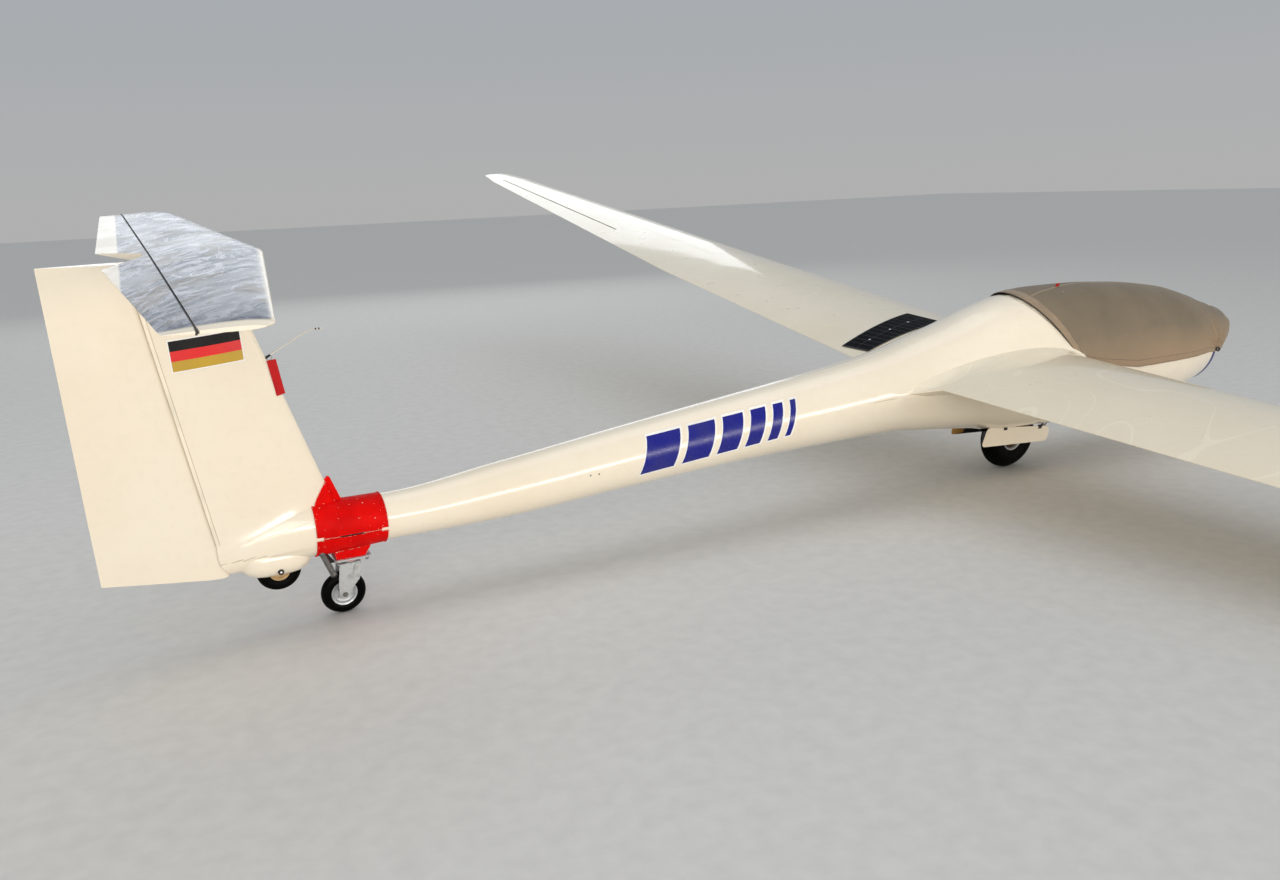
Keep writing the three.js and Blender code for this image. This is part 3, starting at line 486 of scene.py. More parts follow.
def unit(vectors):
    vectors = np.asarray(vectors, float)
    return vectors / np.linalg.norm(vectors, axis=-1, keepdims=True)


def turns(count):
    """Angles of count equal steps round a full circle."""
    return np.arange(count) * 2 * math.pi / count


def circle(centre, radius, u, v, sides):
    """Points round a centre, in the plane of u and v."""
    angles = turns(sides)
    return centre + radius * (np.cos(angles)[:, None] * u + np.sin(angles)[:, None] * v)


def loft(rings, closed=False):
    """Points and faces of a tube through rings of equal length: with end caps, or closed to a loop."""
    rings = [np.asarray(r, float) for r in rings]
    count = len(rings[0])
    last = len(rings) - 1
    faces = []
    for k in range(last + closed):
        here = k * count
        there = (k + 1) % len(rings) * count
        for i in range(count):
            j = (i + 1) % count
            faces.append((here + i, here + j, there + j, there + i))
    if not closed:
        faces.append(tuple(range(count - 1, -1, -1)))
        faces.append(tuple(range(last * count, last * count + count)))
    return np.concatenate(rings), faces


def grid(rows):
    """Points and faces of an open sheet from rows of equal length."""
    rows = [np.asarray(r, float) for r in rows]
    count = len(rows[0])
    faces = [(k * count + i, k * count + i + 1, (k + 1) * count + i + 1, (k + 1) * count + i)
             for k in range(len(rows) - 1) for i in range(count - 1)]
    return np.concatenate(rows), faces


def prism_xz(outline, y0, y1):
    return loft([[(x, y, z) for x, z in outline] for y in (y0, y1)])


def prism_xy(outline, z0, z1):
    return loft([[(x, y, z) for x, y in outline] for z in (z0, z1)])


def box(x0, x1, y0, y1, z0, z1):
    return prism_xz([(x0, z0), (x1, z0), (x1, z1), (x0, z1)], y0, y1)


def rod(a, b, ra, rb=None, sides=32, bevel=0.0):
    """A round bar from a to b, with its end edges broken by a bevel."""
    a, b = np.asarray(a, float), np.asarray(b, float)
    rb = ra if rb is None else rb
    length = np.linalg.norm(b - a)
    along = unit(b - a)
    u = unit(np.cross(along, (0, 0, 1) if abs(along[2]) < 0.9 else (0, 1, 0)))
    v = np.cross(along, u)
    stops = [(0, ra), (length, rb)]
    if bevel:
        nick = bevel * 0.3
        stops = [(0, ra - bevel), (nick, ra - nick), (bevel, ra), (length - bevel, rb),
                 (length - nick, rb - nick), (length, rb - bevel)]
    return loft([circle(a + along * s, r, u, v, sides) for s, r in stops])


def pin(x, z, y0, y1, ra, rb=None, sides=32, bevel=0.0):
    """A round bar across the aircraft."""
    return rod((x, y0, z), (x, y1, z), ra, rb, sides, bevel)


def post(x, y, z0, z1, ra, rb=None, sides=32, bevel=0.0):
    """An upright round bar."""
    return rod((x, y, z0), (x, y, z1), ra, rb, sides, bevel)


def tube(line, radius, sides=12, closed=False):
    """A round bead along a line of points."""
    line = np.asarray(line, float)
    along = np.roll(line, -1, 0) - np.roll(line, 1, 0) if closed else np.gradient(line, axis=0)
    along = unit(along)
    u = np.cross(along[0], (0, 0, 1.0) if abs(along[0][2]) < 0.9 else (0, 1.0, 0))
    rings = []
    for p, a in zip(line, along):
        u = unit(u - a * np.dot(u, a))
        rings.append(circle(p, radius, u, np.cross(a, u), sides))
    return loft(rings, closed)


def lathe(profile, x, z, steps=96):
    """A closed profile of (radius, offset along Y) points turned about a line along Y."""
    return loft([[(x + r * math.cos(a), o, z + r * math.sin(a)) for r, o in profile]
                 for a in turns(steps)], closed=True)


def merged(*parts):
    points, faces, start = [], [], 0
    for p, f in parts:
        points.append(np.asarray(p, float))
        faces += [tuple(i + start for i in face) for face in f]
        start += len(p)
    return np.concatenate(points), faces


def rounded(outline):
    """The same outline with curves through its corners, by repeated corner cutting; its ends are kept."""
    points = [np.array(p, float) for p in outline]
    for _ in range(3):
        new = [points[0]]
        for a, b in zip(points[:-1], points[1:]):
            new += [a * 0.75 + b * 0.25, a * 0.25 + b * 0.75]
        points = new + [points[-1]]
    return [tuple(p) for p in points]


def curve(a, b, c, t):
    """Point on the arc-like curve from a to c, drawn towards b."""
    return (1 - t) ** 2 * a + 2 * t * (1 - t) * b + t**2 * c


def rounded_corners(outline, radius):
    """Outline with each corner replaced by an arc-like curve that starts radius away from it."""
    result = []
    for i, corner in enumerate(outline):
        p = np.array(corner, float)
        a = np.array(outline[i - 1], float) - p
        b = np.array(outline[(i + 1) % len(outline)], float) - p
        r = min(radius, np.linalg.norm(a) * 0.45, np.linalg.norm(b) * 0.45)
        start, end = p + unit(a) * r, p + unit(b) * r
        result += [tuple(curve(start, p, end, t)) for t in np.linspace(0, 1, 6)]
    return result


def rounded_plate(x0, x1, half, z0, z1, radius):
    """A flat plate with round corners, as far to port as to starboard."""
    return prism_xy(rounded_corners([(x0, -half), (x1, -half), (x1, half), (x0, half)], radius), z0, z1)


def mirrored(profile):
    """A closed profile of a wheel from its port half: pairs of radius and offset to port."""
    return [(r, -y) for r, y in profile] + profile[::-1]


def smoothed(line, rounds):
    """The line with its inner points moved towards their neighbours."""
    for _ in range(rounds):
        line[1:-1] = (line[:-2] + 2 * line[1:-1] + line[2:]) / 4
    return line


def strip_along(points, normals, width, lift):
    """A thin raised strip on a surface."""
    points = np.asarray(points, float)
    normals = unit(normals)
    across = np.cross(unit(np.gradient(points, axis=0)), normals)
    return grid([[p - a * width / 2, p - a * width * 0.3 + n * lift, p + a * width * 0.3 + n * lift,
                  p + a * width / 2] for p, a, n in zip(points, across, normals)])


def carve(shape, *cuts, keep=None):
    """Shape with only what lies in keep, if given, and without the cuts; returns points and faces."""
    steps = [("INTERSECT", keep)] if keep else []
    steps += [("DIFFERENCE", cut) for cut in cuts]
    base = put("carved", clean_mesh("carved", *shape, CARVE_WELD))
    cutters = []
    for operation, other in steps:
        cutters.append(put("cutter", clean_mesh("cutter", *other, CARVE_WELD)))
        modifier = base.modifiers.new("carve", "BOOLEAN")
        modifier.object = cutters[-1]
        modifier.operation = operation
        modifier.solver = "MANIFOLD"
    bpy.context.view_layer.update()
    result = bpy.data.meshes.new_from_object(base.evaluated_get(bpy.context.evaluated_depsgraph_get()))
    points = np.zeros(len(result.vertices) * 3)
    result.vertices.foreach_get("co", points)
    faces = [tuple(p.vertices) for p in result.polygons]
    for item in [base, *cutters]:
        bpy.data.objects.remove(item)
    bpy.data.meshes.remove(result)
    return points.reshape(-1, 3), faces


# Fuselage
# columns: x, middle z, half width, height above the middle, depth below it
FUSELAGE = np.array([
    [-4205, 322, 34, 62, 60],
    [-4080, 346, 52, 82, 82],
    [-3840, 388, 84, 106, 112],
    [-3700, 386, 92, 98, 104],
    [-3541, 385, 96, 96, 96],
    [-3055, 411, 121, 121, 121],
    [-2487, 461, 139, 139, 139],
    [-1842, 512, 161, 161, 161],
    [-1305, 546, 187, 189, 187],
    [-951, 572, 214, 218, 214],
    [-760, 588, 234, 252, 250],
    [-569, 600, 252, 290, 284],
    [-380, 610, 270, 338, 318],
    [-186, 618, 286, 376, 362],
    [60, 622, 302, 392, 378],
    [350, 620, 312, 392, 384],
    [700, 612, 314, 380, 376],
    [1050, 604, 304, 340, 346],
    [1350, 600, 262, 264, 264],
    [1550, 640, 186, 158, 212],
    [1660, 638, 130, 128, 134],
    [1744, 639, 84, 83, 120],
    [1800, 650, 50, 48, 74],
    [1826, 650, 14, 12, 16],
], float)
TAIL_X = FUSELAGE[0, 0]
NOSE_X = FUSELAGE[-1, 0]
WALL = 16
COCKPIT = (-120, 1690)


def slopes(xs, ys):
    """Slopes for a smooth curve through the points that never overshoots them."""
    step = np.diff(xs)
    rise = np.diff(ys) / step
    slope = np.zeros_like(ys)
    for i in range(1, len(xs) - 1):
        if rise[i - 1] * rise[i] > 0:
            w1 = 2 * step[i] + step[i - 1]
            w2 = step[i] + 2 * step[i - 1]
            slope[i] = (w1 + w2) / (w1 / rise[i - 1] + w2 / rise[i])
    slope[0] = rise[0]
    slope[-1] = rise[-1]
    return slope


def smooth_table(table):
    xs = table[:, 0]
    return xs, [(table[:, c], slopes(xs, table[:, c])) for c in range(1, table.shape[1])]


def look_up(smooth, x):
    """All columns of a smooth table at x; works on arrays."""
    xs, columns = smooth
    x = np.clip(np.asarray(x, float), xs[0], xs[-1])
    k = np.clip(np.searchsorted(xs, x) - 1, 0, len(xs) - 2)
    h = xs[k + 1] - xs[k]
    t = (x - xs[k]) / h
    return [ys[k] * (2 * t**3 - 3 * t**2 + 1) + m[k] * h * (t**3 - 2 * t**2 + t)
            + ys[k + 1] * (3 * t**2 - 2 * t**3) + m[k + 1] * h * (t**3 - t**2) for ys, m in columns]


def row_at(table, value):
    """All columns of a plain table at a value of its first column."""
    return [np.interp(value, table[:, 0], table[:, c]) for c in range(1, table.shape[1])]


HULL = smooth_table(FUSELAGE)


def hull_ring(x, grow=0.0, segments=112):
    middle, half, up, down = look_up(HULL, x)
    angles = turns(segments)
    rise = np.where(np.sin(angles) > 0, up, down) + grow
    return xyz(x, np.cos(angles) * (half + grow), middle + np.sin(angles) * rise)


def hull_tube(start, end, count, grow=0.0, segments=112):
    return loft([hull_ring(x, grow, segments) for x in np.linspace(start, end, count)])


def hull_half(table, x, z):
    """Middle, half width and height of a hull's section at x, on z's side of the middle."""
    middle, half, up, down = look_up(table, x)
    return middle, half, np.where(np.asarray(z) > middle, up, down)


def hull_gap(points):
    """About how far points lie outside the fuselage, in millimetres."""
    x, y, z = points.T
    middle, half, rise = hull_half(HULL, x, z)
    level = np.sqrt((y / half) ** 2 + ((z - middle) / rise) ** 2)
    return np.hypot(y, z - middle) * (1 - 1 / np.maximum(level, 1e-6))


def hull_side(x, z, side, lift=0.0):
    """Point on the fuselage's side at x and z, moved out along the surface by lift."""
    middle, half, rise = hull_half(HULL, x, z)
    s = np.clip((z - middle) / rise, -1, 1)
    y = half * np.sqrt(1 - s**2)
    ny = y / half**2
    nz = (z - middle) / rise**2
    length = np.hypot(ny, nz)
    return xyz(x, side * (y + lift * ny / length), z + lift * nz / length)


def hull_normal(points):
    x, y, z = np.asarray(points, float).T
    middle, half, rise = hull_half(HULL, x, z)
    return unit(xyz(0, y / half**2, (z - middle) / rise**2))


# Wing sections
# columns: y, leading edge x, trailing edge x, trailing edge z, thickness over chord
WING = np.array([
    [150, 190, -1090, 596, 0.17],
    [330, 135, -885, 654, 0.17],
    [2600, 140, -745, 729, 0.15],
    [7000, 100, -310, 912, 0.13],
    [7400, 60, -240, 931, 0.12],
    [7500, 10, -215, 936, 0.08],
], float)
ROOT_Y = 330
ROOT_X = (-1350, 420)
TIP_Y = 7500
TIP_ROUND = 45
CAMBER = 0.028
TRAILING_EDGE = 0.0012
FILLET = 105.0


def half_thickness(t):
    return 5 * (0.2969 * np.sqrt(t) - 0.126 * t - 0.3516 * t**2 + 0.2843 * t**3 - 0.1036 * t**4)


def bend(t, camber=CAMBER):
    return 4 * camber * t * (1 - t)


def section(thickness, camber, steps=44):
    t = (1 - np.cos(np.arange(steps + 1) / steps * math.pi)) / 2
    half = half_thickness(t) * thickness + TRAILING_EDGE * t
    top = np.stack([t, bend(t, camber) + half], 1)
    low = np.stack([t, bend(t, camber) - half], 1)[1:][::-1]
    return np.concatenate([top, low])


def wing_ring(y, side):
    lead, trail, z, thickness = row_at(WING, y)
    chord = lead - trail
    shape = section(float(thickness), CAMBER)
    ring = xyz(lead - shape[:, 0] * chord, side * float(y), z + shape[:, 1] * chord)
    round_off = max(0.0, (y - (TIP_Y - TIP_ROUND)) / TIP_ROUND)
    if round_off:
        squash = math.sqrt(max(0.0, 1 - (0.97 * round_off) ** 2))
        mean = z + bend(shape[:, 0]) * chord
        ring[:, 2] = mean + (ring[:, 2] - mean) * squash
        centre = lead - 0.45 * chord
        ring[:, 0] = centre + (ring[:, 0] - centre) * (1 - 0.16 * round_off**3)
    return ring


def wing_middle(y, share, side):
    """Point halfway between the wing's skins, and its distance to them."""
    lead, trail, z, thickness = row_at(WING, y)
    chord = lead - trail
    point = np.array([lead - share * chord, side * y, z + bend(share) * chord])
    return point, (half_thickness(share) * thickness + TRAILING_EDGE) * chord


def blend_lift(gap, reach=FILLET):
    return reach / 4 * np.clip(1 - np.abs(gap) / reach, 0, 1) ** 2


def stub_gap(points):
    """About how far points lie outside the wing root's section, taken at each point's own distance out."""
    lead, trail, z, thickness = row_at(WING, np.clip(np.abs(points[:, 1]), 150, 2600))
    chord = lead - trail
    best = np.full(len(points), 1e9)
    for share in (1 - np.cos(np.linspace(0, math.pi, 50))) / 2:
        for sign in (1, -1):
            edge = bend(share) + sign * (half_thickness(share) * thickness + TRAILING_EDGE)
            d = np.hypot(points[:, 0] - (lead - share * chord), points[:, 2] - (z + edge * chord))
            best = np.minimum(best, d)
    share = (lead - points[:, 0]) / chord
    s = np.clip(share, 0, 1)
    off_middle = np.abs(points[:, 2] - (z + bend(s) * chord))
    inside = (off_middle < half_thickness(s) * thickness * chord) & (share > 0) & (share < 1)
    return np.where(inside, -best, best)


def blended_wing(ring):
    """Wing points moved out along the section where the fuselage is near, so that both flow together."""
    gap = hull_gap(ring)
    lift = np.where(gap < 0, FILLET / 4, blend_lift(gap))
    forward = np.roll(ring, -1, 0) - np.roll(ring, 1, 0)
    normal = xyz(forward[:, 2], 0, -forward[:, 0])
    normal /= np.maximum(np.linalg.norm(normal, axis=1)[:, None], 1e-9)
    if np.sum((ring - ring.mean(0)) * normal) < 0:
        normal = -normal
    taper = np.clip((ring[:, 0] - (ring[:, 0].min() - 1)) / 90, 0, 1)
    return ring + normal * (lift * taper)[:, None]


# Fin and rudder
# columns: z, leading edge x, trailing edge x, thickness over chord
FIN = np.array([
    [262, -3690, -4602, 0.085],
    [563, -3783, -4614, 0.09],
    [1198, -3997, -4637, 0.095],
    [1466, -4087, -4647, 0.095],
], float)
RUDDER_LOW = np.array([-4196.0, 0, 262])
RUDDER_HIGH = np.array([-4400.0, 0, 1466])
RUDDER_AXIS = unit(RUDDER_HIGH - RUDDER_LOW)
# Radii of the rudder's round nose at its lower and upper end, and the room round it
RUDDER_NOSE = (30, 19)
RUDDER_ROOM = 6
# Fillet between fin and boom: behind the dolly's band and ahead of the rudder
FOOT_FILLET = 58.0
FOOT_FROM_X = -3862
FOOT_TO_X = -4212
# Tailplane; columns: y, leading edge x, trailing edge x, thickness over chord
TAIL = np.array([
    [0, -3934, -4471, 0.095],
    [1120, -4108, -4390, 0.095],
    [1150, -4135, -4384, 0.05],
], float)
ELEVATOR_X = -4307
ELEVATOR_TIP = 1150
ELEVATOR_NOSE = (15, 8)
ELEVATOR_ROOM = 2.6


def fin_ring(z):
    lead, trail, thickness = row_at(FIN, z)
    shape = section(float(thickness), 0)
    chord = lead - trail
    return xyz(lead - shape[:, 0] * chord, shape[:, 1] * chord, float(z))


def fin_half(x, z):
    """Half thickness of the fin and rudder at x and z."""
    lead, trail, thickness = row_at(FIN, z)
    chord = lead - trail
    t = np.clip((lead - x) / chord, 0, 1)
    return (half_thickness(t) * thickness + TRAILING_EDGE * t) * chord


def fin_side(x, z, side, lift=0.0):
    """Point on the fin's skin, or the rudder's, at x and z."""
    return xyz(x, side * (fin_half(x, z) + lift), z)


def foot_taper(x):
    """Share of the fillet between fin and boom that shows at x."""
    return np.clip((FOOT_FROM_X - x) / 70, 0, 1) * np.clip((x - FOOT_TO_X) / 60, 0, 1)


def footed_fin(ring):
    gap = hull_gap(ring)
    lift = np.where(gap < 0, FOOT_FILLET / 4, blend_lift(gap, FOOT_FILLET)) * foot_taper(ring[:, 0])
    out = ring.copy()
    out[:, 1] += np.sign(out[:, 1]) * lift
    return out


def build_hull():
    """The whole skin, moved out towards the wing roots and the fin's foot."""
    xs = np.unique(np.concatenate([
        np.linspace(TAIL_X, -1300, 70), np.linspace(-1300, 1600, 150), np.linspace(1600, NOSE_X, 26)]))
    points, faces = loft([hull_ring(x) for x in xs])
    near = (points[:, 0] > ROOT_X[0]) & (points[:, 0] < ROOT_X[1])
    spot = points[near]
    lift = np.where(np.abs(spot[:, 1]) > 60, blend_lift(stub_gap(spot)), 0)
    points[near] = spot + hull_normal(spot) * lift[:, None]
    foot = (points[:, 0] < -3860) & (points[:, 2] > 330)
    spot = points[foot]
    gap = np.abs(spot[:, 1]) - fin_half(spot[:, 0], spot[:, 2])
    lift = blend_lift(gap, FOOT_FILLET) * foot_taper(spot[:, 0])
    points[foot] = spot + hull_normal(spot) * lift[:, None]
    return points, faces


# Side view of the canopy: rear edge and sill, then the two upper corners, above the fuselage
CANOPY_SILL = [(-190, 1020), (130, 716), (300, 664), (600, 622), (1000, 606), (1290, 622), (1430, 668),
               (1560, 735)]
CANOPY_TOP = [(1560, 1100), (-190, 1100)]
CANOPY_GAP = 3
CANOPY_MIDDLE_X = 700
WELL = (-300, 198, 106, 380)
TAIL_WHEEL = (-3990, 243)
TAIL_WHEEL_ROOM = (-4085, -3895, -31, 31, 100, 345)
# x and share of the full section
BULGE = [(-4135, 0.05), (-4125, 0.42), (-4105, 0.72), (-4075, 0.92), (-4040, 1), (-3950, 1), (-3920, 0.93),
         (-3890, 0.74), (-3868, 0.4), (-3858, 0.05)]


def canopy_opening():
    """The canopy's side view with a gap round it."""
    moved = [(x, z - CANOPY_GAP) for x, z in rounded(CANOPY_SILL)] + CANOPY_TOP
    return [(x + math.copysign(CANOPY_GAP, x - CANOPY_MIDDLE_X), z) for x, z in moved]


def bulge():
    angles = turns(48)
    rise = np.sin(angles) * np.where(np.sin(angles) > 0, 80, 62)
    return loft([xyz(x, np.cos(angles) * 64 * k, 286 + rise * k) for x, k in BULGE])


def fuselage_pieces():
    well_from, well_to, well_half, well_top = WELL
    liner = box(well_from - 8, well_to + 8, -well_half - 8, well_half + 8, 100, well_top + 8)
    cavity = carve(hull_tube(*COCKPIT, 90, -WALL, 64), liner)
    door_room = box(well_from, well_to, -well_half, well_half, 100, well_top)
    wheel_room = box(*TAIL_WHEEL_ROOM)
    rudder_room = rod(RUDDER_LOW - RUDDER_AXIS * 60, RUDDER_LOW + RUDDER_AXIS * 240, 35, 35, 64)
    opening = prism_xz(canopy_opening(), -500, 500)
    skin = carve(build_hull(), cavity, opening, door_room, wheel_room, rudder_room)
    make("fuselage_skin", skin, GEL, replaces=["fuselage"], smooth=35)
    make("tail_wheel_fairing", carve(bulge(), wheel_room), GEL, smooth=35)
    surfaces = [skin]
    for name, side in SIDES:
        stub = loft([blended_wing(wing_ring(y, side)) for y in np.linspace(150, ROOT_Y, 14)])
        surfaces.append(carve(stub, cavity))
        make(f"wing_root_{name}", surfaces[-1], GEL_WING, smooth=50)
    points, faces = merged(*surfaces)
    return BVHTree.FromPolygons(points.tolist(), faces)


ROOT_SURFACE = fuselage_pieces()

# Wings
AILERON = {"inner": 3950, "outer": 6960, "share": 0.77, "gap": 6}
BRAKE = {"inner": 2650, "outer": 3750, "share": 0.5, "half": 13, "depth": 46}


def wing_ends(part, side):
    """Points halfway between the skins at both ends of an aileron or airbrake, and the skins' distances."""
    (a, ra), (b, rb) = [wing_middle(part[end], part["share"], side) for end in ("inner", "outer")]
    return a, b, ra, rb


def behind_hinge(side, grow):
    """Everything behind the aileron's hinge line, longer at each end by grow."""
    a, b, _, _ = wing_ends(AILERON, side)
    y0, y1 = side * (AILERON["inner"] - grow), side * (AILERON["outer"] + grow)
    return prism_xy([(a[0], y0), (b[0], y1), (b[0] - 900, y1), (a[0] - 900, y0)], 400, 1400)


def brake_strip(side, half, grow, low, high=300):
    """An upright strip along the airbrake, from low to high above the wing's middle."""
    p, q, _, _ = wing_ends(BRAKE, side)
    y0, y1 = side * (BRAKE["inner"] - grow), side * (BRAKE["outer"] + grow)
    corners = [(end[0] + offset, y, end[2])
               for end, y, offset in ((p, y0, half), (q, y1, half), (q, y1, -half), (p, y0, -half))]
    return loft([[(x, y, z + level) for x, y, z in corners] for level in (low, high)])


def wing_body(side):
    tip = TIP_Y - TIP_ROUND
    ys = np.unique(np.concatenate([
        np.linspace(ROOT_Y + 0.4, 700, 16), np.linspace(700, 2600, 16), np.linspace(2600, 7000, 36),
        np.linspace(7000, tip, 6), tip + TIP_ROUND * np.sin(np.linspace(0, math.pi / 2, 8))]))
    return loft([blended_wing(wing_ring(y, side)) for y in ys])


def wing_pieces(name, side):
    """The wing's skin with its slot, and the aileron with its round nose."""
    whole = wing_body(side)
    a, b, ra, rb = wing_ends(AILERON, side)
    gap = AILERON["gap"]
    along = unit(b - a) * 4
    nose = carve(rod(a, b, ra, rb, 48), behind_hinge(side, -0.01))
    wing = carve(whole, behind_hinge(side, 2.5), rod(a - along, b + along, ra + gap, rb + gap, 48),
                 brake_strip(side, BRAKE["half"] + 1.2, 1.2, -BRAKE["depth"]))
    aileron = merged(carve(whole, keep=behind_hinge(side, 0)), nose)
    make(f"wing_skin_{name}", wing, GEL_WING, replaces=[f"wing_{name}"], smooth=35)
    make(f"aileron_skin_{name}", aileron, GEL_WING, body=f"aileron_{name}", replaces=[f"aileron_{name}"],
         smooth=35)
    airbrake(name, side, whole)


def airbrake(name, side, whole):
    """The cap that closes the wing's slot, and the blade with its round holes below it."""
    p, q, _, _ = wing_ends(BRAKE, side)
    body = f"airbrake_{name}"
    cap = carve(whole, keep=brake_strip(side, BRAKE["half"], 0, 35))
    holes = []
    for k in range(12):
        y = BRAKE["inner"] + 110 + k * 80
        x, z = [np.interp(y, [BRAKE["inner"], BRAKE["outer"]], [p[c], q[c]]) for c in (0, 2)]
        holes.append(rod((x - 20, side * y, z + 4), (x + 20, side * y, z + 4), 14, sides=24))
    make(f"airbrake_cap_{name}", cap, GEL_WING, body=body, replaces=[body], smooth=35)
    make(f"airbrake_blade_{name}", carve(brake_strip(side, 2.0, -30, -38, 44), *holes), ALLOY, body)


for wing_name, wing_side in SIDES:
    wing_pieces(wing_name, wing_side)


# Tail
def tail_ring(y, drop=0.0):
    lead, trail, thickness = row_at(TAIL, abs(y))
    shape = section(float(thickness), 0)
    chord = lead - trail
    return xyz(lead - shape[:, 0] * chord, float(y), TAIL_Z + shape[:, 1] * chord - drop)


def rudder_axis_x(z):
    slope = (RUDDER_HIGH[0] - RUDDER_LOW[0]) / (RUDDER_HIGH[2] - RUDDER_LOW[2])
    return RUDDER_LOW[0] + (z - RUDDER_LOW[2]) * slope


def fin_and_rudder():
    zs = np.concatenate([np.linspace(FIN[0, 0], 600, 36), np.linspace(640, FIN[-1, 0], 30)])
    behind = prism_xz([(rudder_axis_x(200), 200), (rudder_axis_x(1500), 1500), (-5200, 1500), (-5200, 200)],
                      -300, 300)
    foot = prism_xz([(-4700, 100), (-4100, 100), (-4100, 262), (-4230, 265), (-4610, 307), (-4700, 300)],
                    -300, 300)
    room = RUDDER_AXIS * RUDDER_ROOM
    fin = carve(loft([footed_fin(fin_ring(z)) for z in zs]), behind,
                rod(RUDDER_LOW - room, RUDDER_HIGH + room, *(r + RUDDER_ROOM for r in RUDDER_NOSE), 48),
                box(-5000, -4280, -300, 300, 1447, 2000),
                loft([tail_ring(y, 0.3) for y in np.linspace(-300, 300, 5)]),
                box(-5000, -3000, -300, 300, 0, 340), hull_tube(TAIL_X, -3400, 40, 0.3, 64))
    rudder = merged(carve(loft([fin_ring(z) for z in zs]), foot, keep=behind),
                    carve(rod(RUDDER_LOW, RUDDER_HIGH, *RUDDER_NOSE, 48), behind, foot))
    make("fin_skin", fin, GEL, replaces=["fin"], smooth=35)
    make("rudder_skin", rudder, GEL, body="rudder", replaces=["rudder"], smooth=35)


def rudder_seals():
    """Seal tapes over the rudder's gap, on the fin, with darker beads along their edges as painted shade."""
    zs = np.linspace(402, 1442, 60)
    ahead = np.array([26, 25, 20, 15, 11, 10])
    lift = np.array([0.1, 1.0, 1.2, 1.2, 1.0, 0.1])
    for name, side in SIDES:
        rows = [fin_side(rudder_axis_x(z) + ahead, z, side, lift) for z in zs]
        make(f"rudder_seal_{name}", grid(rows), TAPE, smooth=80)
        # Darker beads on both edges of each tape: its real edges, darkened as painted shade.
        for edge, offset in (("front", 25), ("rear", 11)):
            line = [fin_side(rudder_axis_x(z) + offset, z, side, 1.0) for z in zs]
            make(f"rudder_seal_{edge}_{name}", tube(line, 0.9, 6), SHADED_TAPE_EDGE)


def tailplane():
    tip_ys = 1120 + 30 * np.sin(np.linspace(0, math.pi / 2, 7))
    ys = np.unique(np.concatenate([np.linspace(0, 1120, 24), tip_ys]))
    plane = loft([tail_ring(y) for y in np.concatenate([-ys[::-1][:-1], ys])])
    root = np.array([ELEVATOR_X, 0, TAIL_Z], float)
    back = box(-4700, ELEVATOR_X, -1200, 1200, 1300, 1600)
    notch = prism_xy([(-4326, -34), (-4480, -190), (-4700, -190), (-4700, 190), (-4480, 190), (-4326, 34)],
                     1300, 1600)
    tips = [root + (0, side * ELEVATOR_TIP, 0) for side in (-1, 1)]
    room = [r + ELEVATOR_ROOM for r in ELEVATOR_NOSE]
    front = carve(plane, back, *[rod(root, tip, *room, 48) for tip in tips])
    noses = [carve(rod(root, tip, *ELEVATOR_NOSE, 48), back, notch) for tip in tips]
    make("stabilizer_skin", front, GEL_TAIL, replaces=["stabilizer"], smooth=35)
    make("elevator_skin", carve(plane, notch, keep=back), GEL_TAIL, body="elevator", replaces=["elevator"],
         smooth=35)
    # The elevator's round nose is black as painted shade: it stands for the shadowed gap in front of the
    # elevator.
    make("elevator_nose_painted_shade", merged(*noses), BLACK, body="elevator", smooth=35)


fin_and_rudder()
tailplane()
rudder_seals()

# Cloth cover over the canopy and nose
COVER_ROOM = 9
CLOTH_ROWS = FUSELAGE[(FUSELAGE[:, 0] > -700) & (FUSELAGE[:, 0] < 1600)]
CLOTH_HULL = smooth_table(np.vstack([CLOTH_ROWS + (0, 0, COVER_ROOM, COVER_ROOM, COVER_ROOM), [
    [1655, 638, 144, 142, 148],
    [1738, 638, 98, 97, 133],
    [1793, 649, 64, 62, 88],
    [1826, 652, 40, 38, 52],
    [1838, 653, 12, 10, 14],
]]))
# columns: share of the length, x of the crown
COVER_TOP = np.array([(0.0, -146), (0.10, 110), (0.25, 450), (0.50, 1040), (0.65, 1350), (0.78, 1560),
                      (0.88, 1700), (0.95, 1791)])
# columns: share of the length, x and z of the hem
COVER_EDGE = np.array([
    (0.0, 106, 700), (0.05, 205, 664), (0.10, 295, 640), (0.25, 600, 592), (0.50, 1050, 590),
    (0.65, 1260, 594), (0.78, 1450, 580), (0.88, 1590, 566), (0.95, 1690, 545), (1.0, 1745, 507)])
NOSE_TURN = {"x": 1743, "reach": 96, "from": math.radians(60), "to": math.radians(-90), "low": 507}
KNOT = np.array([1376, -262, 602], float)


def crown_z(x):
    middle, _, up, _ = look_up(CLOTH_HULL, x)
    return float(middle + up)


def cover_top(s):
    """Crown of the cover in side view: back along the top, round the nose tip and under it."""
    last, tip_x = COVER_TOP[-1]
    if s <= last:
        x = float(row_at(COVER_TOP, s)[0])
        return x, crown_z(x)
    nose = NOSE_TURN
    turn = nose["from"] + (nose["to"] - nose["from"]) * (s - last) / (1 - last)
    share = (math.sin(turn) + 1) / (math.sin(nose["from"]) + 1)
    return nose["x"] + nose["reach"] * math.cos(turn), nose["low"] + (crown_z(tip_x) - nose["low"]) * share


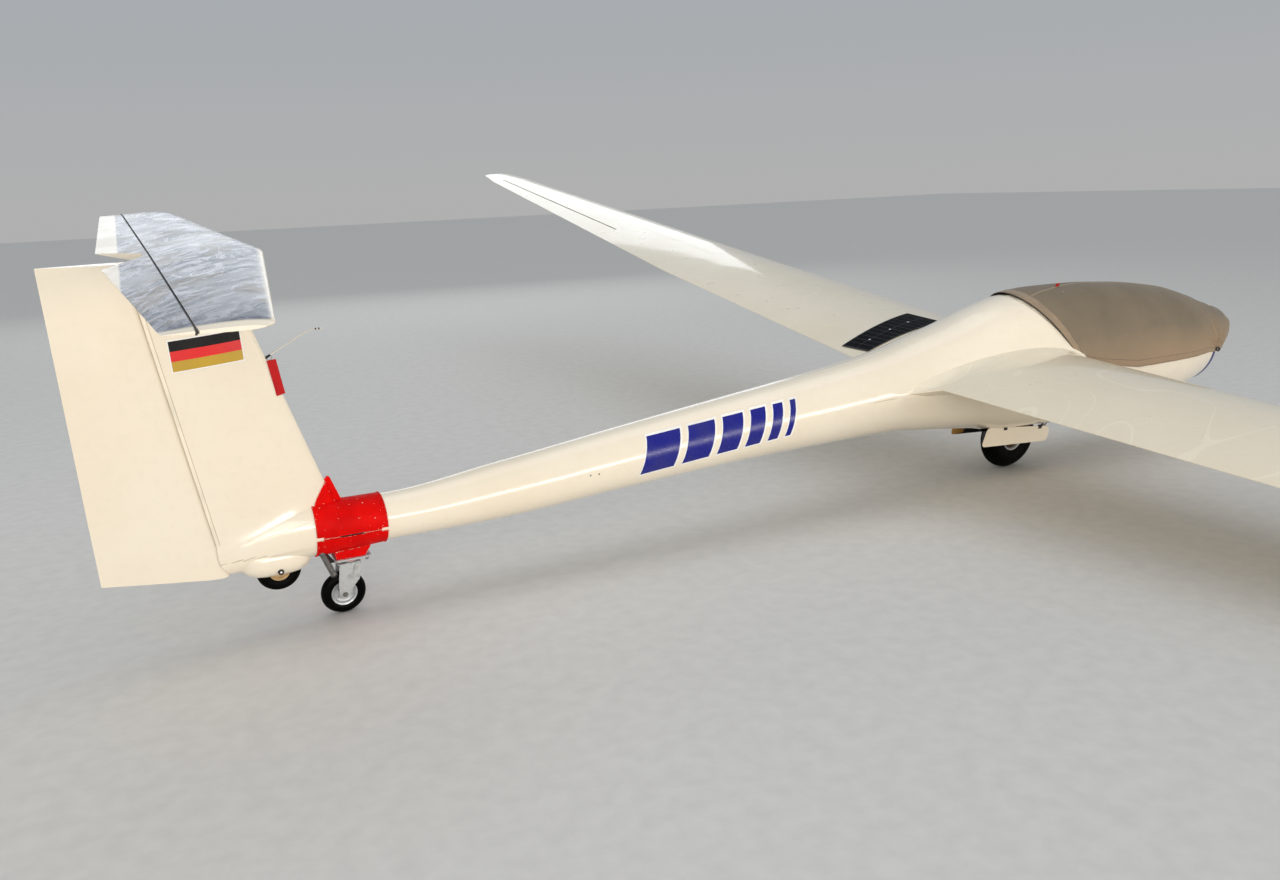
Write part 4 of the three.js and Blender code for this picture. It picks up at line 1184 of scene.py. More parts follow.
def cover_rows(count_along=230, count_over=129):
    rows = []
    w = np.linspace(-1, 1, count_over)
    share = 1 - np.cos(np.abs(w) * math.pi / 2)
    for s in np.linspace(0, 1, count_along):
        top_x, top_z = cover_top(s)
        edge_x, edge_z = row_at(COVER_EDGE, s)
        x = top_x + (edge_x - top_x) * share
        z = top_z + (edge_z - top_z) * share
        middle, half, rise = hull_half(CLOTH_HULL, x, z)
        y = half * np.sqrt(np.clip(1 - ((z - middle) / rise) ** 2, 0, 1))
        rows.append(xyz(x, np.sign(w) * y, z))
    return np.array(rows)


def folds(points):
    """Height of the cloth's folds above its smooth shape: gathers that run to the tie on each side."""
    lift = np.zeros(len(points))
    for _, side in SIDES:
        away = points - KNOT * (1, -side, 1)
        distance = np.linalg.norm(away, axis=1)
        angle = np.arctan2(away[:, 2], -away[:, 0])
        here = points[:, 1] * side > 0
        pleat = (1 - np.abs(np.sin(angle * 9.5 + 0.5 * np.sin(angle * 3)))) ** 1.7
        upper = np.clip((angle - 0.25) / 0.4, 0, 1)
        lift += 24 * np.clip(distance / 45, 0, 1) * np.exp(-(distance / 145) ** 2) * pleat * upper * here
        long_fold = np.maximum(np.sin(angle * 9 + 1.1), 0) ** 3
        lift += 6.0 * np.clip(distance / 120, 0, 1) * np.exp(-(distance / 330) ** 2) * long_fold * here
    x, y, z = points.T
    slack = np.clip((z - 575) / 90, 0, 1)
    lift += 2.6 * np.sin(x / 21 + 1.5 * np.sin(z / 30)) * np.sin(x / 67 + 0.4) * (1 - slack)
    return lift + 1.4 * np.sin(x / 160 + y / 70)


def sheet_normals(points):
    normal = np.cross(np.gradient(points, axis=0), np.gradient(points, axis=1))
    normal /= np.maximum(np.linalg.norm(normal, axis=2)[..., None], 1e-9)
    outward = points - xyz(points[..., 0], 0, 600.0)
    flip = np.sign((normal * outward).sum(2))
    return normal * np.where(flip == 0, 1, flip)[..., None]


def bend_with_canopy(piece):
    """The piece, with its placing baked into its points."""
    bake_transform(piece)


def cover():
    rows = cover_rows()
    lift = folds(rows.reshape(-1, 3)).reshape(rows.shape[:2])
    outer = rows + sheet_normals(rows) * lift[..., None]
    piece = make("canopy_cover_cloth", grid(outer), CLOTH, None,
                 ["canopy_cover", "nose_cover"], smooth=0)
    piece.data.shade_smooth()
    thicken = piece.modifiers.new("cloth", "SOLIDIFY")
    thicken.thickness = 0.0018
    thicken.offset = 1
    area = sum(p.area for p in piece.data.polygons)
    bend_with_canopy(piece)
    return piece, area, outer


cover_piece, cover_area, cover_grid = cover()
COVER_NORMALS = sheet_normals(cover_grid)


def on_cover(s, w, lift=0.0):
    """Points on the cover: s runs from its rear edge to the nose, w from hem to hem, port last."""
    s, w = np.broadcast_arrays(np.asarray(s, float), np.asarray(w, float))
    i = np.clip(s * (len(cover_grid) - 1), 0, len(cover_grid) - 1.001)
    j = np.clip((w + 1) / 2 * (cover_grid.shape[1] - 1), 0, cover_grid.shape[1] - 1.001)
    i0, j0 = i.astype(int), j.astype(int)
    a, b = (i - i0)[..., None], (j - j0)[..., None]
    place, normal = [
        (table[i0, j0] * (1 - a) + table[i0 + 1, j0] * a) * (1 - b)
        + (table[i0, j0 + 1] * (1 - a) + table[i0 + 1, j0 + 1] * a) * b
        for table in (cover_grid, COVER_NORMALS)]
    return place + normal * lift


def on_canopy(name, shape, material):
    """A piece of the cover's trim, with its placing baked into its points as the cover's is."""
    piece = make(name, shape, material, None, smooth=50)
    bend_with_canopy(piece)
    return piece


# columns: share of the length, share of the width, along the seam that turns to starboard at the hem
CROWN_SEAM = np.array([(0.02, -0.20), (0.054, -0.146), (0.10, -0.104), (0.148, -0.05), (0.20, -0.02),
                       (0.30, 0.0)])
STRAP_BACK = 4


def cover_trim():
    """Hem, cords, a black bead of painted shadow along the rear edge, the seam along the crown and the red
    pull tab on it.
    """
    across = np.linspace(-1, 1, 129)
    hem = ((0.0, 2.0), (0.002, 3.4), (0.014, 3.2), (0.028, 3.4), (0.0295, 2.0))
    on_canopy("cover_hem", grid([on_cover(s, across, lift) for s, lift in hem]), HEM)
    on_canopy("cover_hem_stitch", tube(on_cover(0.027, across, 3.2), 0.9, 6), ROPE)
    # A black bead along the rear edge: painted shadow of the gap between the cloth and the fuselage.
    on_canopy("cover_edge_painted_shadow", tube(on_cover(0.001, across, 0.5), 2.6, 8), BLACK)
    along = np.linspace(0.02, 0.93, 180)
    seam = row_at(CROWN_SEAM, along)[0]
    route = on_cover(along, seam)
    on_canopy("cover_crown_seam", strip_along(route, on_cover(along, seam, 1.0) - route, 11, 3.2), HEM)
    low = np.linspace(0.0, 0.99, 150)
    for name, side in SIDES:
        on_canopy(f"cover_low_cord_{name}", tube(on_cover(low, side * 0.996, 1.0), 2.8, 8), HEM)
        on_canopy(f"cover_low_stitch_{name}", tube(on_cover(low, side * 0.94, 2.1), 0.8, 6), ROPE)
    root = on_cover(0.135, -0.066, 2.5)
    tab = [root + (dx, dy, dz) for dz, dy in ((0, 0), (9, -1), (17, -4), (20, -9)) for dx in (-13, 13)]
    piece = on_canopy("cover_tab", (tab, [(0, 1, 3, 2), (2, 3, 5, 4), (4, 5, 7, 6)]), RED_CLOTH)
    piece.modifiers.new("cloth", "SOLIDIFY").thickness = 0.0012


def nose_tie():
    """Strap under the nose, tied to the cover on each side."""
    x = KNOT[0] - STRAP_BACK
    angles = np.linspace(math.radians(-176), math.radians(-4), 60)
    middle, half, _, down = look_up(HULL, x)
    belt = xyz(x, np.cos(angles) * (half + 2), middle + np.sin(angles) * (down + 2))
    make("nose_strap", strip_along(belt, hull_normal(belt), 26, 1.6), WEBBING)
    for name, side in SIDES:
        centre = KNOT * (1, -side, 1) + (2, side * 12, -4)
        loops = []
        for turn, size in ((0.2, 13), (1.3, 11), (2.4, 12)):
            u = np.array([math.cos(turn), 0.25, math.sin(turn)])
            v = np.cross(u, (0, 1, 0)) * 0.8 + (0, 0.45, 0)
            loops.append(tube(circle(centre, size, u, v, 16), 3.6, 8, closed=True))
        make(f"nose_knot_{name}", merged(*loops), ROPE)


# Markings: plain slanted bars on the boom, stripes of the flag on the fin
def patch_on(surface, low, high, slant, height, side, lift, cells=(12, 14)):
    """A foil on a side surface, from low to high (x, z) along its lower edge, leaning forward by slant."""
    (x0, z0), (x1, z1) = low, high
    u = np.linspace(0, 1, cells[0])
    return grid([surface(x0 + (x1 - x0) * u + slant * v, z0 + (z1 - z0) * u + height * v, side, lift)
                 for v in np.linspace(0, 1, cells[1])])


BAR_WIDTHS = (168, 138, 108, 80, 54, 30)
BAR_FROM = (-2457, 417)
BAR_SPACE = 42
BAR_HEIGHT = 158
BAR_SLANT = 50
BAR_RISE = 0.0956
BAR_RIM = 8


def bars(side_name, side):
    x = BAR_FROM[0]
    white, navy = [], []
    for width in BAR_WIDTHS:
        z = BAR_FROM[1] + (x - BAR_FROM[0]) * BAR_RISE
        outer = width + 2 * BAR_RIM
        white.append(patch_on(hull_side, (x - BAR_RIM, z - BAR_RIM),
                              (x - BAR_RIM + outer, z - BAR_RIM + outer * BAR_RISE),
                              BAR_SLANT + 4, BAR_HEIGHT + 2 * BAR_RIM, side, 0.5))
        navy.append(patch_on(hull_side, (x, z), (x + width, z + width * BAR_RISE),
                             BAR_SLANT, BAR_HEIGHT, side, 1.0))
        x += width + BAR_SPACE
    make(f"boom_bars_rim_{side_name}", merged(*white), WHITE, smooth=60)
    make(f"boom_bars_{side_name}", merged(*navy), NAVY, smooth=60)


FLAG_LOW = ((-4277, 1081), (-4040, 1100))
FLAG_LEAN = -6
STRIPE = 36.5


def flag(side_name, side):
    (x0, z0), (x1, z1) = FLAG_LOW
    rim = patch_on(fin_side, (x0 - 4, z0 - 4), (x1 + 4, z1 - 4), FLAG_LEAN, 118, side, 0.4)
    make(f"fin_flag_rim_{side_name}", rim, WHITE, smooth=60)
    for k, (stripe, material) in enumerate((("gold", FLAG_GOLD), ("red", FLAG_RED), ("black", FLAG_BLACK))):
        low = k * STRIPE
        shift = FLAG_LEAN * low / 110
        shape = patch_on(fin_side, (x0 + shift, z0 + low), (x1 + shift, z1 + low),
                         FLAG_LEAN / 3, STRIPE, side, 0.9, (12, 4))
        make(f"fin_flag_{stripe}_{side_name}", shape, material, smooth=60)


for mark in (bars, flag):
    for mark_name, mark_side in reversed(SIDES):
        mark(mark_name, mark_side)

# Lines where mouldings meet, as thin beads on the skin; the darker root seam is partly painted shade
ROOT_SEAM = [(-1191, 191, 591), (-1097, 199, 599), (-1007, 206, 607), (-911, 214, 611), (-822, 225, 618),
             (-760, 225, 657), (-650, 223, 706), (-538, 222, 745), (-444, 231, 763), (-354, 238, 775),
             (-263, 247, 783), (-171, 257, 781), (-90, 280, 772)]
FOOT_CREASE = [(-4203, 18, 368), (-4124, 31, 391), (-4017, 48, 409), (-3936, 58, 426), (-3868, 65, 444)]


def snapped(points):
    """Points moved to the nearest place on the fuselage or the wing root."""
    return np.array([tuple(ROOT_SURFACE.find_nearest(Vector(p))[0]) for p in points])


def hull_lines():
    for kind, route, radius, material in (("wing_root_seam", ROOT_SEAM, 1.5, SHADED_TAPE_EDGE),
                                          ("fin_foot_crease", FOOT_CREASE, 1.4, TAPE)):
        seam = np.column_stack([np.arange(len(route)), route])
        fine = np.stack(row_at(seam, np.linspace(0, len(seam) - 1, 70)), 1)
        for name, side in SIDES:
            line = snapped(smoothed(snapped(fine * (1, side, 1)), 3))
            make(f"{kind}_{name}", tube(line, radius, 8), material)
    # Two halves of the fuselage meet along its back, filled and polished
    xs = np.linspace(-3560, -1000, 80)
    middle, _, up, _ = look_up(HULL, xs)
    back = xyz(xs, 0, middle + up)
    make("back_seam", strip_along(back, hull_normal(back), 6, 0.4), TAPE)


hull_lines()
cover_trim()
nose_tie()


def small_fittings():
    """Static ports and the tow hook."""
    for side_name, side in SIDES:
        for k, x in enumerate((-2700, -2660)):
            p = hull_side(x, 455, side)
            n = hull_normal([p])[0]
            make(f"static_port_{side_name}_{k}", rod(p - n * 2, p + n * 0.8, 4, 3.2, 20), DARK_STEEL)
    hook = carve(box(262, 330, -9, 9, 214, 250), pin(285, 216, -20, 20, 11))
    make("tow_hook", hook, DARK_STEEL)
    ring = lathe([(16 + 4 * math.cos(a), 4 * math.sin(a)) for a in turns(12)], 296, 214, 40)
    make("tow_hook_ring", ring, STEEL)


small_fittings()


# Main gear: doors, wheel and leg
DOOR = [(-296, 304), (191, 248), (196, 190), (182, 160), (-326, 198)]
DOOR_Y = 114
DOOR_RIB = [(-318, 288), (-218, 276), (-240, 204), (-318, 202)]


def door(name, side):
    def y(out):
        return side * (DOOR_Y + out)

    outline = rounded_corners(DOOR, 26)
    inner = [(x * 0.985 - 1, (z - 230) * 0.96 + 230) for x, z in outline]
    make(f"gear_door_skin_{name}", prism_xz(outline, y(1.6), y(4)), GEL, replaces=[f"gear_door_{name}"])
    make(f"gear_door_liner_{name}", prism_xz(inner, y(-0.4), y(1.6)), BLACK)
    # The rib at the port door's rear end, which shows behind the wheel, is yellow-brown; the starboard one is
    # black.
    make(f"gear_door_rib_{name}", prism_xz(rounded_corners(DOOR_RIB, 8), y(-9), y(-0.4)),
         YELLOW_BROWN if side > 0 else BLACK)
    for k, x in enumerate((-158, 118)):
        z = np.interp(x, [-296, 191], [304, 248]) - 5
        knuckle = merged(rod((x - 15, y(2), z + 8), (x + 15, y(2), z + 8), 5, 5, 20, 1),
                         box(x - 13, x + 13, y(4), y(6), z - 10, z + 8))
        make(f"gear_door_hinge_{name}_{k}", knuckle, DARK_STEEL)
        for j in (-7, 7):
            screw = pin(x + j, z - 4, y(5), y(7.4), 2.6, 2.1, 16)
            make(f"gear_door_screw_{name}_{k}_{j + 7}", screw, STEEL)
    strut = rod((150, y(-3), 236), (172, side * 98, 330), 4, 4, 16, 0.6)
    make(f"gear_door_strut_{name}", strut, STEEL)


for door_name, door_side in SIDES:
    door(door_name, door_side)

# Share of a tyre's crown at which its beads sit
BEAD = 0.72


def tyre_profile(tyre, grooves=(), groove=(3, 3), bead=BEAD):
    """Closed outline of a tyre: round tread with grooves, shoulder, side wall and beads at the rim."""
    crown = tyre["crown"]
    points = [(tyre["hub"], -crown * bead)]
    for a in np.linspace(-0.62, 0.62, 49) * math.pi:
        offset = math.sin(a) * crown
        reach = tyre["radius"] - crown + math.cos(a) * crown
        if abs(a) < 1.2:
            reach -= sum(groove[1] * math.cos(a) for g in grooves if abs(offset - g) < groove[0])
        if 1.45 < abs(a) < 1.6:
            reach += 0.8
        points.append((reach, offset))
    points.append((tyre["hub"], crown * bead))
    return points


def bolt_ring(x, z, y, radius, count, size, length, side):
    """Bolt heads with their ends round a wheel's axle, on one side."""
    shapes = []
    for a in turns(count):
        place = (x + radius * math.cos(a), z + radius * math.sin(a), y)
        shapes.append(pin(*place, y + side * length, size, size, 6))
        shapes.append(pin(*place, y + side * length * 1.5, size * 0.5, size * 0.45, 12))
    return merged(*shapes)


def main_wheel():
    x, z = 0, MAIN_AXLE_Z
    body = "main_wheel"
    tread = tyre_profile(MAIN_TYRE, (-32, -11, 11, 32), (2.6, 4))
    make("main_tyre_tread", lathe(tread, x, z, 128), TYRE, body, ["main_tyre"], 38)
    half = MAIN_TYRE["crown"] * BEAD
    flanges = mirrored([(60, half * 0.86), (66, half + 1), (72, half + 2), (74, half), (72.5, half - 3),
                        (69.6, half - 4)])
    make("main_rim_flanges", lathe(flanges, x, z), ALLOY, body, ["main_wheel_rim"], 35)
    web = mirrored([(14, half + 3), (27, half + 3), (30, half - 6), (33, half * 0.42), (50, half * 0.36),
                    (61, half * 0.80)])
    holes = [pin(x + 45 * math.cos(a), z + 45 * math.sin(a), -60, 60, 7.5, 7.5, 20) for a in turns(6)]
    make("main_rim_web", carve(lathe(web, x, z), *holes), RIM_BROWN, body, smooth=35)
    bolts = [bolt_ring(x, z, side * half * 0.42, 37, 6, 3.8, 5, side) for side in (-1, 1)]
    make("main_rim_bolts", merged(*bolts), STEEL, body)
    for name, side in SIDES:
        make(f"main_axle_nut_{name}", pin(x, z, side * 85, side * 95, 16, 15, 6), STEEL)
        make(f"main_axle_end_{name}", pin(x, z, side * 86, side * 100, 8, 7, 20, 1), STEEL)


def tail_wheel():
    x, z = TAIL_WHEEL
    tread = tyre_profile(TAIL_TYRE, (-8, 8), (1.6, 2))
    make("tail_tyre_tread", lathe(tread, x, z), TYRE, "tail_wheel", ["tail_tyre"], 38)
    half = TAIL_TYRE["crown"] * BEAD
    rim = mirrored([(8, half + 2), (16, half + 2), (18, half * 0.5), (30, half * 0.45), (35, half * 0.8),
                    (41, half + 1), (39.7, half - 1)])
    make("tail_rim_cast", lathe(rim, x, z), RIM_TAN, "tail_wheel", ["tail_wheel_rim"], 38)
    for name, side in SIDES:
        cap = pin(x - 2, z + 15, side * 57.5, side * 65.3, 12, 11.2)
        make(f"tail_axle_cap_{name}", cap, BLACK)
        bolt = pin(x - 2, z + 15, side * 63.5, side * 66.7, 5.2, 4.4, 6)
        make(f"tail_axle_bolt_{name}", bolt, WHITE)


main_wheel()
tail_wheel()

# Tail dolly
CLAMP = (-3852, -3576)
CLAMP_THICK = 4.3
CLAMP_SLOT = (-3764, -3671)
# Slits in the clamp's starboard side: from x, to x, from z, to z
SLITS = ((-3854, -3574, 369.5, 372.5), (-3854, -3826, 364, 379), (-3602, -3574, 364, 379),
         (*CLAMP_SLOT, 367.5, 374.5))
EAR = [(-3852, 392), (-3852, 450), (-3838, 505), (-3806, 556), (-3776, 588), (-3756, 530), (-3742, 480),
       (-3728, 430), (-3728, 392)]
EAR_PLATE = [(-3815, 560), (-3778, 596), (-3768, 590), (-3724, 476), (-3815, 476)]
LUG = [(-3787, 300), (-3781, 284), (-3775, 251.6), (-3662, 251.6), (-3641, 284), (-3635, 300)]
PLATE = {"from": -3782, "to": -3638, "half": 52, "z": 245, "thick": 6}
BAR_TOP = np.array([-3834.0, -50, 304])
BAR_LOW = np.array([-3791.0, -50, 190])
BAR_WEB = [(-3846, 292), (-3812, 292), (-3784, 252), (-3784, 246), (-3806, 246), (-3822, 262)]
CASTER = {"x": -3750, "z": axle_height(CASTER_TYRE), "pivot": -3718, "crown_z": PLATE["z"] - 20, "side": 30}


def grown_fin(grow):
    rings = []
    for z in np.linspace(300, 700, 20):
        ring = fin_ring(z)
        ring[:, 1] += np.sign(ring[:, 1]) * grow
        ring[:, 0] += np.where(ring[:, 0] > row_at(FIN, z)[0] - 12, grow, 0)
        rings.append(ring)
    return loft(rings)


def clamp():
    """The band round the boom with its ear on the fin, and the lug below it."""
    start, end = CLAMP
    body = hull_tube(start, end, 24, CLAMP_THICK, 128)
    inside = hull_tube(start - 20, end + 20, 28, 0.5, 128)
    fin = grown_fin(0.5)
    slits = [box(x0, x1, -200, -20, z0, z1) for x0, x1, z0, z1 in SLITS]
    band = carve(body, inside, fin, *slits)
    ear = carve(grown_fin(CLAMP_THICK), fin, keep=prism_xz(rounded(EAR), -200, 200))
    slot_from, slot_to = CLAMP_SLOT
    felt = carve(hull_tube(slot_from, slot_to, 12, 0.45, 96),
                 hull_tube(slot_from - 6, slot_to + 6, 14, 0.05, 96))
    lug = carve(prism_xz(LUG, -44, 44), clamp_outside())
    make("dolly_band", band, RED, replaces=["dolly_clamp"], smooth=35)
    make("dolly_ear", carve(ear, inside), RED, smooth=35)
    make("dolly_felt", felt, BLACK, smooth=35)
    # Rolled rims of the band, open at the slit
    for name, x in (("rear", start + 2.5), ("front", end - 2.5)):
        ring = hull_ring(x, CLAMP_THICK, 128)
        keep = (ring[:, 1] > -20) | (ring[:, 2] < SLITS[1][2]) | (ring[:, 2] > SLITS[1][3])
        order = np.roll(np.arange(128), -int(np.where(~keep)[0].min()))
        line = [ring[i] for i in order if keep[i]]
        make(f"dolly_rim_{name}", tube(line, 2.4), RED, smooth=50)
    make("dolly_ear_plate", carve(prism_xz(EAR_PLATE, -2.6, 2.6), inside, fin), RED, smooth=35)
    make("dolly_bracket", lug, RED, replaces=["dolly_lug"], smooth=35)


def clamp_outside():
    return hull_tube(CLAMP[0] - 20, CLAMP[1] + 20, 28, CLAMP_THICK + 0.2, 96)


def dolly_plate():
    x0, x1, half, z = PLATE["from"], PLATE["to"], PLATE["half"], PLATE["z"]
    bolts = []
    for x in (x0 + 17, x1 - 17):
        for y in (14 - half, half - 14):
            bolts += [post(x, y, z - 11, z - 3.9, 8, 8, 6), post(x, y, z - 15, z, 4.6, 4.6, 20, 0.8),
                      post(x, y, z + 5.9, z + 7.5, 9.5, 9, 24)]
    plates = merged(rounded_plate(x0, x1, half, z, z + PLATE["thick"], 12),
                    rounded_plate(x0 + 6, x1 - 6, half - 5, z - 4, z, 16))
    make("dolly_plate_zinc", plates, ZINC, replaces=["dolly_plate"], smooth=35)
    make("dolly_plate_bolts", merged(*bolts), STEEL)


def bar_tube():
    """Tube for the tow bar, open at its lower end, with a ring and a web."""
    top, low = BAR_TOP, BAR_LOW
    along = unit(low - top)
    bore = rod(top + (low - top) * 0.5, low + (low - top) * 0.1, 9.2)
    outside = clamp_outside()
    ring = carve(rod(low - along * 5, low + along * 1.5, 13.4, sides=40), bore)
    make("dolly_tube", carve(rod(top, low, 12, sides=40), outside, bore), BRIGHT_STEEL,
         replaces=["dolly_lever"], smooth=35)
    make("dolly_tube_ring", ring, DARK_STEEL, smooth=35)
    make("dolly_tube_web", carve(prism_xz(BAR_WEB, -46, -43), outside), DARK_STEEL)


def caster_wheel():
    x, z = CASTER["x"], CASTER["z"]
    body = "caster_wheel"
    tread = tyre_profile(CASTER_TYRE, bead=0.80)
    make("caster_tyre_round", lathe(tread, x, z, 112), CASTER_RUBBER, body, ["caster_tyre"], 38)
    rim = mirrored([(6.4, 22), (13, 22), (14, 15), (16, 9), (34, 7), (41, 10), (45, 17), (51.6, 19.5),
                    (53, 18), (51.7, 15)])
    make("caster_rim_pressed", lathe(rim, x, z), CASTER_ALLOY, body, ["caster_rim"], 38)
    rivets = [bolt_ring(x, z, side * 7, 27, 5, 3, 2.2, side) for side in (-1, 1)]
    make("caster_rim_rivets", merged(*rivets), STEEL, body)


def turned(profile, steps=64):
    """A profile of (radius, height above the fork's crown) turned about the swivel's axis."""
    points, faces = lathe(profile, 0, 0, steps)
    return xyz(points[:, 0] + CASTER["pivot"], points[:, 2], points[:, 1] + CASTER["crown_z"] + 0.5), faces


def swivel():
    pivot, crown_z = CASTER["pivot"], CASTER["crown_z"]
    race = turned([(33, 2), (37, 4), (39, 8), (37, 11), (30, 12), (24, 12), (24, 2)])
    make("caster_race", race, ZINC, "caster", ["dolly_swivel"], 35)
    seal = turned([(30, 11), (43, 11), (43, 15), (30, 15)])
    make("caster_dust_seal", seal, RED, "caster", smooth=35)
    kingpin = merged(post(pivot, 0, crown_z - 16, crown_z - 5, 11, 11, 6),
                     post(pivot, 0, crown_z - 19, crown_z - 5, 6, 6, 24, 1))
    make("caster_kingpin", kingpin, STEEL, "caster")


def fork():
    """Crown plate, two cheeks and their flanges folded outward along the front, and the axle."""
    x, z, pivot, crown_z, out = [CASTER[key] for key in ("x", "z", "pivot", "crown_z", "side")]
    cheek = rounded_corners([(pivot - 46, crown_z - 0.4), (pivot + 40, crown_z - 0.4), (pivot + 26, z + 62),
                             (x + 19, z + 2), (x + 13, z - 17), (x - 13, z - 17), (x - 21, z - 4),
                             (x - 23, z + 40)], 12)
    flange = np.array([(pivot + 14, crown_z - 4), (pivot + 40, crown_z - 4), (pivot + 26, z + 62),
                       (x + 21, z + 12), (x + 13, z + 12), (pivot + 2, z + 70)])
    fold = flange[:, 0] > np.median(flange[:, 0])
    pieces = [rounded_plate(pivot - 50, pivot + 40, out + 4, crown_z - 5.5, crown_z, 10)]
    axle = [pin(x, z, -out - 6, out + 6, 5.7, 5.7, 24)]
    for side in (-1, 1):
        pieces.append(prism_xz(cheek, side * out, side * (out + 3.6)))
        inner = xyz(flange[:, 0], side * (out + 2), flange[:, 1])
        outer = xyz(flange[:, 0] + np.where(fold, 1.5, 0), side * (out + 3.2) + fold * side * 7, flange[:, 1])
        pieces.append(loft([inner, outer]))
        y = side * (out + 3.6)
        axle += [pin(x, z, y, y + side * 1.6, 11, 10.5), pin(x, z, y + side * 1.6, y + side * 8.5, 9, 8.6, 6),
                 pin(x, z, y + side * 8, y + side * 11, 5, 4.2, 20)]
    make("caster_fork_pressed", merged(*pieces), ZINC, "caster", ["caster_fork"], 30)
    make("caster_axle", merged(*axle), STEEL, "caster")


clamp()
dolly_plate()
bar_tube()
caster_wheel()
swivel()
fork()


def wing_top(x, y, lift=0.0):
    """Point on the port wing's upper side."""
    lead, trail, z, thickness = row_at(WING, y)
    chord = lead - trail
    t = np.clip((lead - x) / chord, 0, 1)
    height = bend(t) + half_thickness(t) * thickness + TRAILING_EDGE * t
    place = xyz(x, y, z + height * chord)
    place[:, 2] += blend_lift(hull_gap(place)) + lift
    return place


# Solar panel on the port wing root: a thin black laminate with cells in rows
PANEL = np.array([[-800, 322], [-835, 500], [-240, 640], [-190, 396]], float)
CELL_COLUMNS = 12
CELL_ROWS = 2


def on_panel(u0, u1, v0, v1, lift, cells):
    """A sheet on the wing, from u0 to u1 along the panel and from v0 to v1 across it."""
    u = np.linspace(u0, u1, cells[0])[:, None]
    low = PANEL[0] + (PANEL[3] - PANEL[0]) * u
    high = PANEL[1] + (PANEL[2] - PANEL[1]) * u
    return grid([wing_top(*(low + (high - low) * v).T, lift) for v in np.linspace(v0, v1, cells[1])])


def solar():
    wide, tall = 0.96 / CELL_COLUMNS, 0.94 / CELL_ROWS
    cells = [on_panel(u, u + wide, v, v + tall, 5.0, (6, 6))
             for u in 0.02 + np.arange(CELL_COLUMNS) * wide for v in 0.03 + np.arange(CELL_ROWS) * tall]
    lines = [on_panel(u - 0.0022, u + 0.0022, 0.03, 0.97, 5.6, (2, 14))
             for u in np.linspace(0.02, 0.98, CELL_COLUMNS + 1)]
    lines += [on_panel(0.02, 0.98, v - 0.006, v + 0.006, 5.6, (40, 2)) for v in (0.03, 0.5, 0.97)]
    dots = [on_panel(u - 0.009, u + 0.009, 0.475, 0.525, 6.2, (3, 3)) for u in (0.2, 0.48, 0.74)]
    laminate = on_panel(0, 1, 0, 1, 4.2, (40, 16))
    make("solar_laminate", laminate, SOLAR_BACK, replaces=["solar_panel"])
    for name, sheets, material in (("cells", cells, CELLS), ("busbars", lines, BUSBAR),
                                   ("contacts", dots, WHITE)):
        make(f"solar_{name}", merged(*sheets), material)


solar()

# Probe on the fin and its blank ribbon
PROBE = [np.array([-3975.0, 0, 1082]), np.array([-3801.0, 0, 1178]), np.array([-3747.0, 0, 1180])]
RIBBON_WIDE = 33


def probe():
    a, b, c = PROBE
    line = [a + (b - a) * t for t in np.linspace(0, 0.9, 12)]
    line += [curve(b - (b - a) * 0.1, b, b + (c - b) * 0.35, t) for t in np.linspace(0.2, 1, 6)]
    line += [b + (c - b) * t for t in np.linspace(0.5, 1, 5)]
    make("probe_tube", tube(line, 2.6, 16), PROBE_PAINT, replaces=["fin_probe"])
    socket = a + (b - a) * 0.06
    make("probe_socket", rod(socket, socket + (b - a) * 0.12, 5, 4, 24, 0.8), DARK_STEEL)
    rings = [rod(c + (dx, 0, 0), c + (dx + 5, 0, 0), 3.5, 3.5, 20) for dx in (-30, -18)]
    make("probe_rings", merged(*rings), DARK_STEEL)


def ribbon():
    """A ribbon on a ring below the probe."""
    knot = PROBE[0] + (PROBE[1] - PROBE[0]) * 0.16
    ring = circle(knot + (0, 2, -8), 1, np.array([9, 0, 0]), np.array([0, 0, 10]), 24)
    make("ribbon_ring", tube(ring, 0.9, 8, closed=True), STEEL)
    rows = []
    u = np.linspace(-0.5, 0.5, 7)
    for v in np.linspace(0, 1, 30):
        x = knot[0] + 4 + u * RIBBON_WIDE + 22 * v
        z = knot[2] - 15 - 134 * v + 4 * u
        beside = -fin_half(np.minimum(x, row_at(FIN, z)[0]), z)
        y = np.minimum(beside, -4) - 3 - 2.5 * np.sin(v * 7 + u * 1.4) * v - 3 * np.maximum(u, 0)
        rows.append(xyz(x, y, z))
    piece = make("probe_ribbon", grid(rows), RED_CLOTH)
    piece.modifiers.new("cloth", "SOLIDIFY").thickness = 0.0009


probe()
ribbon()

# Cockpit: cushions on the seat, belts, dials on the panel
SEAT_LINE = [(-20, 800), (46, 646), (110, 541), (176, 456), (262, 392), (350, 344), (450, 333), (560, 330)]
CUSHION_HALF = 158
CUSHION_THICK = 34
QUILT = 92
BUCKLE = 78
BELT_WIDE = 44


def seat_route():
    """Distances along the seat's upper face in side view, its points and their normals."""
    steps = np.concatenate([[0], np.cumsum(np.linalg.norm(np.diff(SEAT_LINE, axis=0), axis=1))])
    even = np.linspace(0, steps[-1], 120)
    points = smoothed(np.stack(row_at(np.column_stack([steps, SEAT_LINE]), even), 1), 4)
    along = unit(np.gradient(points, axis=0))
    return even, points, np.stack([-along[:, 1], along[:, 0]], 1)


